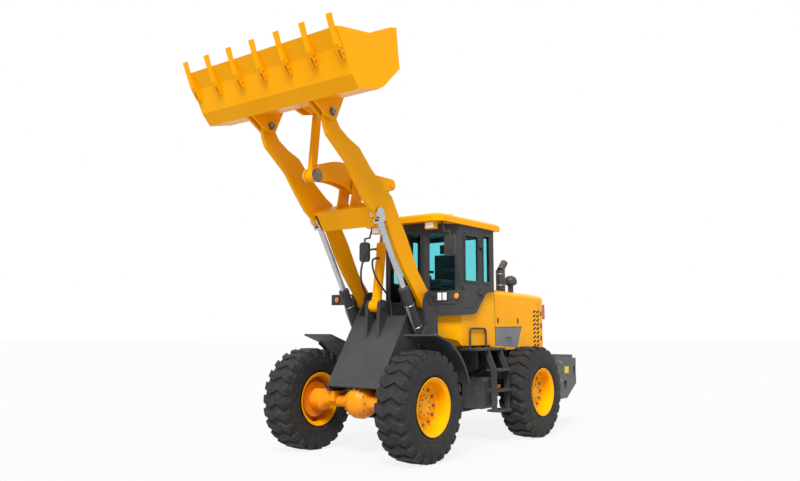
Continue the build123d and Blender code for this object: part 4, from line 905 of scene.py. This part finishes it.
beacon_outline = [
    (0.050, 3.172), (0.0555, 3.180), (0.0555, 3.240), (0.050, 3.262), (0.036, 3.272), (0.0, 3.2745),
]
bm = bmesh.new()
line = [bm.verts.new(beacon_middle + Vector((r, 0, z))) for r, z in beacon_outline]
edges = [bm.edges.new(pair) for pair in zip(line, line[1:])]
bmesh.ops.spin(
    bm, geom=line + edges, cent=beacon_middle, axis=(0, 0, 1), angle=math.tau, steps=32,
    use_merge=True,
)
bmesh.ops.remove_doubles(bm, verts=bm.verts, dist=0.0002)
for v in bm.verts:
    away = (v.co - beacon_middle) * Vector((1, 1, 0))
    v.co += away.normalized() * beacon_clearance if away.length > 0.001 else Vector()
piece("beacon_dome", bm, amber_lens, "rear_machine")

# ---------------------------------------------------------------- mirror glass
# A thin pane of silvered glass with eased edges, glued to the face of each mirror shell
# that looks back.
silvering, tree, silver_shader = new_finish("silvered_glass")
spots = remap(tree, noise(tree, 12.0, 6.0), 0.5, 0.8)
set_sockets(silver_shader, {
    "Base Color": mix_colors(tree, scaled(tree, spots, 0.3), (0.82, 0.84, 0.86, 1), (0.55, 0.56, 0.56, 1)),
    "Metallic": 1.0, "Roughness": remap(tree, spots, 0.0, 1.0, 0.03, 0.15),
})
bm = bmesh.new()
for s in (-1, 1):
    rounded_box(bm, (0.3225, s * 0.750 - 0.068, 2.592), (0.3260, s * 0.750 + 0.068, 2.848), 0.0015)
piece("mirror_glass", bm, silvering, "rear_machine")

# ---------------------------------------------------------------- hood screen and latches
# A sheet of black expanded metal covers the radiator opening at the tail of the hood, and
# moulded black latches in two sizes are screwed to the hood's flanks.
mesh_steel, tree, mesh_shader = new_finish("mesh_steel")
# the holes' middles are painted near black and rougher than the strands: painted shade seen through the
# holes
holes = cells(tree, 70.0)
dark = remap(tree, holes, 0.25, 0.5)
set_sockets(mesh_shader, {
    "Base Color": mix_colors(tree, dark, (0.006, 0.006, 0.006, 1), (0.040, 0.040, 0.042, 1)),
    "Metallic": 0.4, "Roughness": remap(tree, dark, 0.0, 1.0, 0.9, 0.55),
    "Normal": raised(tree, holes, 0.8, 0.004),
})
bm = bmesh.new()
rounded_box(bm, (-2.660, -0.425, 1.340), (-2.656, 0.425, 1.720), 0.001, 1)
piece("hood_screens", bm, mesh_steel, "rear_machine")
bm = bmesh.new()
for s in (-1, 1):
    for z in (1.420, 1.620, 1.820):
        rounded_box(bm, (-2.600, s * 0.603 - 0.005, z), (-2.560, s * 0.603 + 0.005, z + 0.075), 0.004)
    for x in (-1.180, -1.800):
        rounded_box(bm, (x, s * 0.602 - 0.005, 1.690), (x + 0.035, s * 0.602 + 0.006, 1.770), 0.004)
        rounded_box(bm, (x + 0.008, s * 0.610 - 0.004, 1.700), (x + 0.027, s * 0.610 + 0.004, 1.750), 0.003)
piece("hood_latches", bm, plastic, "rear_machine")

# ---------------------------------------------------------------- hood seams
# Thin upright strips of black rubber that fill the joints at the front of the hood and
# ahead of its rear door.
bm = bmesh.new()
for x in (-1.0785, -2.4950):
    for s in (-1, 1):
        low, high = (x - 0.003, s * 0.600 - 0.001, 1.340), (x + 0.003, s * 0.600 + 0.0025, 2.060)
        rounded_box(bm, low, high, 0.001, 1)
piece("hood_seams", bm, gasket_rubber, "rear_machine")

# ---------------------------------------------------------------- side panel hardware
# Each grey steel cover hangs on four flat screws and is lifted off by a bent black grip
# in its middle.
bm = bmesh.new()
for s in (-1, 1):
    for x, z in ((-1.115, 1.600), (-1.880, 1.610), (-1.760, 1.340), (-1.115, 1.375)):
        hex_head(bm, (x, s * 0.593, z), (0, s, 0), 0.010, 0.006)
piece("side_panel_screws", bm, bolt_finish, "rear_machine")
bm = bmesh.new()
for s in (-1, 1):
    grip = [Vector((x, s * y, 1.470)) for x, y in (
        (-1.560, 0.593), (-1.555, 0.620), (-1.425, 0.620), (-1.420, 0.593),
    )]
    sweep_round(bm, grip, 0.008, sides=10)
piece("side_panel_grips", bm, plastic, "rear_machine")

# ---------------------------------------------------------------- exhaust clamps
# Two zinc-plated round clamps go about the exhaust stack, each drawn together at a small
# block on its front.
clamp_radius = 0.0765
bm = bmesh.new()
for z in (2.300, 2.480):
    ring = arc((-1.880, 0.250, z), (clamp_radius, 0, 0), (0, clamp_radius, 0), 40)
    sweep_round(bm, ring, 0.007, sides=8, closed=True)
    rounded_box(bm, (-1.8035, 0.238, z - 0.010), (-1.7760, 0.262, z + 0.010), 0.003)
piece("exhaust_clamps", bm, bolt_finish, "rear_machine")

# ---------------------------------------------------------------- cooling louvres
# Two columns of nine slanted louvres on each flank of the hood: thin near-black blades
# that lie on the sheet and stand off it most along their upper edge. Their black is painted
# shade, standing for the dark inside the hood's vent slots.
vent_shade_blades, tree, vent_shade_shader = new_finish("vent_shade_blades")
# near-black painted shade, a little uneven in tone
vent_shade_tone = remap(tree, noise(tree, 34.0, 6.0), 0.4, 0.7)
set_sockets(vent_shade_shader, {
    "Base Color": mix_colors(tree, vent_shade_tone, (0.007, 0.007, 0.007, 1), (0.018, 0.017, 0.016, 1)),
    "Roughness": remap(tree, vent_shade_tone, 0.0, 1.0, 0.5, 0.75), "Specular IOR Level": 0.2,
    "Normal": raised(tree, noise(tree, 250.0, 2.0), 0.2, 0.0006),
})
louvre_outline = [(-0.042, 0.022), (-0.042, -0.006), (0.042, -0.036), (0.042, -0.008)]
louvre_slope = 0.36
louvre_pitch = 0.068
louvre_foot = 1.345
bm = bmesh.new()
for s in (-1, 1):
    for x in (-2.345, -2.460):
        for row in range(9):
            z = louvre_foot + louvre_pitch * row
            face = bm.faces.new([bm.verts.new((x + u, s * 0.5995, z + w)) for u, w in louvre_outline])
            for v in bmesh.ops.extrude_face_region(bm, geom=[face])["geom"]:
                if isinstance(v, bmesh.types.BMVert):
                    upper = v.co.z - v.co.x * louvre_slope > z - x * louvre_slope
                    v.co.y += s * (0.0045 if upper else 0.0020)
bmesh.ops.bevel(
    bm, geom=bm.edges[:], offset=0.0008, segments=1, profile=0.5, affect="EDGES", material=-1,
)
piece("hood_louvres", bm, vent_shade_blades, "rear_machine")

# ---------------------------------------------------------------- pin covers and grease nipples
# Round zinc-plated covers close the ends of the bucket's, bellcrank's and link's pins. Each
# is held by three bolts and has a grease nipple in its middle.


def nipple(bm, place, axis):
    """A grease nipple: hexagon foot, neck and ball."""
    axis = Vector(axis).normalized()
    hex_head(bm, place, axis, 0.008, 0.008)
    neck = [Vector(place) + axis * d for d in (0.006, 0.014, 0.018, 0.024)]
    sweep_round(bm, neck, [0.004, 0.004, 0.006, 0.003], 8)


cover_thick = 0.008
cover_bolt_place, cover_bolt_size = 0.62, 0.17      # of the cover's radius
pin_ends = {
    "bucket_hinge": (2.525, 0.600, 4.090, 0.040), "bellcrank_shaft": (1.520, 0.152, 3.450, 0.070),
    "link_shaft": (2.260, 0.105, 3.450, 0.070),
}
for body, (x, y, z, radius) in pin_ends.items():
    bm = bmesh.new()
    for s in (-1, 1):
        out = Vector((0, s, 0))
        end = Vector((x, s * y, z))
        turned_disc(bm, end + out * cover_thick / 2, "X", (radius, radius), cover_thick, 32)
        face = end + out * cover_thick
        ring_of_heads(
            bm, face, radius * cover_bolt_place, 3, out, radius * cover_bolt_size, 0.010, 0.5,
        )
        nipple(bm, face, out)
    piece(f"pin_caps_{body}", bm, bolt_finish, body)

# ---------------------------------------------------------------- weld beads
# A MIG fillet runs over the top of each end of the boom's box cross member, where it
# meets the inner face of the arm; it is sprayed over with the paint.
bead_radius, bead_step, bead_ripple, ripple_turn = 0.007, 0.012, 0.14, 2.4


def weld(bm, *route):
    """A slightly uneven bead along a route."""
    points = []
    for a, b in zip(route, route[1:]):
        a, b = Vector(a), Vector(b)
        count = max(int((b - a).length / bead_step), 2)
        points += [a.lerp(b, k / count) for k in range(count + (b == Vector(route[-1])))]
    radii = [bead_radius * (1 + bead_ripple * math.sin(i * ripple_turn)) for i in range(len(points))]
    sweep_round(bm, points, radii, sides=6)


bm = bmesh.new()
for s in (-1, 1):
    weld(bm, (1.475, s * 0.484, 3.040), (1.560, s * 0.484, 3.190), (1.715, s * 0.484, 3.103))
piece("boom_welds", bm, yellow_enamel, "boom")

# ---------------------------------------------------------------- lift cylinder pipes
# Three round clamps on each lift barrel hold the pair of steel oil pipes that run along
# it to the rod end.
band_radius = 0.0665
lift_foot, lift_eye, lift_side = Vector((0.470, 0, 1.100)), Vector((1.619, 0, 3.020)), 0.510
for s, hand in ((1, "left"), (-1, "right")):
    foot = lift_foot + Vector((0, s * lift_side, 0))
    run = (lift_eye - lift_foot).normalized()
    side_way = Vector((run.z, 0, -run.x))
    bm = bmesh.new()
    for along in (0.30, 0.62, 0.94):
        ring = arc(foot + run * along, side_way * band_radius, (0, band_radius, 0), 36)
        sweep_round(bm, ring, 0.006, sides=6, closed=True)
    for offset in (-0.012, 0.012):
        start = foot + Vector((0, s * 0.012, 0)) + side_way * offset
        pipe = [start + run * along + side_way * off for along, off in (
            (0.16, 0.060), (0.20, 0.078), (0.92, 0.078), (0.96, 0.060),
        )]
        sweep_round(bm, pipe, 0.007, sides=10)
    piece(f"lift_cylinder_pipes_{hand}", bm, bolt_finish, f"lift_cylinder_{hand}")

# ---------------------------------------------------------------- tooth pins
# Steel pins driven through the shank of every bucket tooth, two to a tooth; their heads
# show on both sides.
tooth_count, tooth_span, tooth_side = 7, 1.1975, 0.0325
shank_slope = 0.65
bm = bmesh.new()
for i in range(tooth_count):
    y = tooth_span * (2 * i / (tooth_count - 1) - 1)
    for rise in (0.0, 0.050):
        for s in (-1, 1):
            place = (3.080 + rise * shank_slope, y + s * tooth_side, 4.475 + rise)
            hex_head(bm, place, (0, s, 0), 0.009, 0.006)
piece("tooth_pins", bm, bolt_finish, "bucket_body")

# ---------------------------------------------------------------- tow pin
# Forged pin of blackened steel with a tapered foot, a turned head and a looped handle,
# stood in the counterweight's towing jaw.
tow_x = -3.235
bm = bmesh.new()
shank = [Vector((tow_x, 0, z)) for z in (0.720, 0.735, 1.120, 1.124)]
sweep_round(bm, shank, [0.012, 0.022, 0.022, 0.022], 20)
turned_disc(bm, (tow_x, 0, 1.132), "Z", (0.038, 0.034), 0.016, 28)
handle = arc((tow_x, 0, 1.150), (0, 0.034, 0), (0, 0, 0.038), 15, span=math.pi * 15 / 14)
sweep_round(bm, handle, 0.006, sides=10)
piece("tow_pin", bm, pin_steel, "rear_machine")

# ---------------------------------------------------------------- counterweight bolts and mark
# Two large bolts with washers on each flank hold the casting to the frame; a blank patch
# of yellow reflective film is stuck behind them.
bm = bmesh.new()
for s in (-1, 1):
    for z in (1.060, 0.780):
        hex_head(bm, (-2.620, s * 0.900, z), (0, s, 0), 0.026, 0.024)
piece("counterweight_bolts", bm, bolt_finish, "rear_machine")
patch_film, tree, film_shader = new_finish("yellow_reflective_film")
prisms = cells(tree, 260.0)
set_sockets(film_shader, {
    "Base Color": mix_colors(tree, prisms, (0.85, 0.55, 0.01, 1), (0.70, 0.42, 0.01, 1)),
    "Roughness": remap(tree, prisms, 0.0, 0.6, 0.25, 0.4),
    "Normal": raised(tree, prisms, 0.2, 0.0005),
})
bm = bmesh.new()
for s in (-1, 1):
    rounded_box(bm, (-2.950, s * 0.9005 - 0.0008, 0.880), (-2.800, s * 0.9005 + 0.0008, 0.990), 0.0004, 1)
piece("counterweight_marks", bm, patch_film, "rear_machine")

# ---------------------------------------------------------------- step treads and deck plates
# Thin galvanised tread plates with a raised tear pattern, laid on each walkway and on
# the three steps below it.
tread_steel, tree, tread_shader = new_finish("tread_plate")
bars = cells(tree, 38.0)
worn = remap(tree, bars, 0.15, 0.35)
set_sockets(tread_shader, {
    "Base Color": mix_colors(tree, worn, (0.23, 0.23, 0.235, 1), (0.085, 0.085, 0.088, 1)),
    "Metallic": 0.7, "Roughness": remap(tree, worn, 0.0, 1.0, 0.35, 0.6),
    "Normal": raised(tree, bars, 0.7, 0.003),
})
walkway_tread = (-0.915, -0.145, 0.605, 0.838)
step_tread = (-0.814, -0.496, 0.812, 0.988)
bm = bmesh.new()
for s in (-1, 1):
    for (x0, x1, y0, y1), z in (
        (walkway_tread, 1.330), (step_tread, 0.480), (step_tread, 0.760), (step_tread, 1.040),
    ):
        low, high = sorted((s * y0, s * y1))
        rounded_box(bm, (x0, low, z - 0.0005), (x1, high, z + 0.0025), 0.001, 1)
piece("walkway_treads", bm, tread_steel, "rear_machine")

# ---------------------------------------------------------------- fender bolts
# Four zinc-plated hex bolts with flat heads clamp each front fender to the frame's arm
# under it.
bm = bmesh.new()
for s in (-1, 1):
    for x in (0.560, 0.640):
        for y in (0.700, 0.780):
            hex_head(bm, (x, s * y, 1.531), (0, 0, 1), 0.012, 0.010)
piece("fender_bolts", bm, bolt_finish, "front_machine")

# ---------------------------------------------------------------- axle hardware
# The bolt circle of each differential carrier, and the steel brake pipes bent to run
# along the top of each axle tube.
carrier_circle, carrier_face = 0.165, 0.135
axle_height = 0.6699
for body, x, turn in (("front_machine", 1.295, 1), ("rear_machine", -1.555, -1)):
    bm = bmesh.new()
    carrier = (x + turn * carrier_face, 0, axle_height)
    ring_of_heads(bm, carrier, carrier_circle, 12, (turn, 0, 0), 0.011, 0.011)
    for s in (-1, 1):
        pipe = [Vector((x - turn * 0.03, s * y, z)) for y, z in (
            (0.180, 0.870), (0.260, 0.815), (0.420, 0.790), (0.600, 0.792), (0.680, 0.800),
        )]
        sweep_round(bm, pipe, 0.005, sides=8)
    piece(f"axle_hardware_{body}", bm, bolt_finish, body)

# ---------------------------------------------------------------- tanks, drive shafts and air cleaner
# Side tanks of folded steel and turned drive shafts, sprayed in the frame's grey, and the
# air cleaner's moulded black head. The seat and hose nodes that pieces above stand for get
# a finish too.
finish_nodes(grey_enamel, "side_tanks", "drive_shaft_front", "drive_shaft_rear")
finish_nodes(plastic, "air_cleaner", "operator_seat")
finish_nodes(hose_rubber, "tilt_hose_left", "tilt_hose_right")
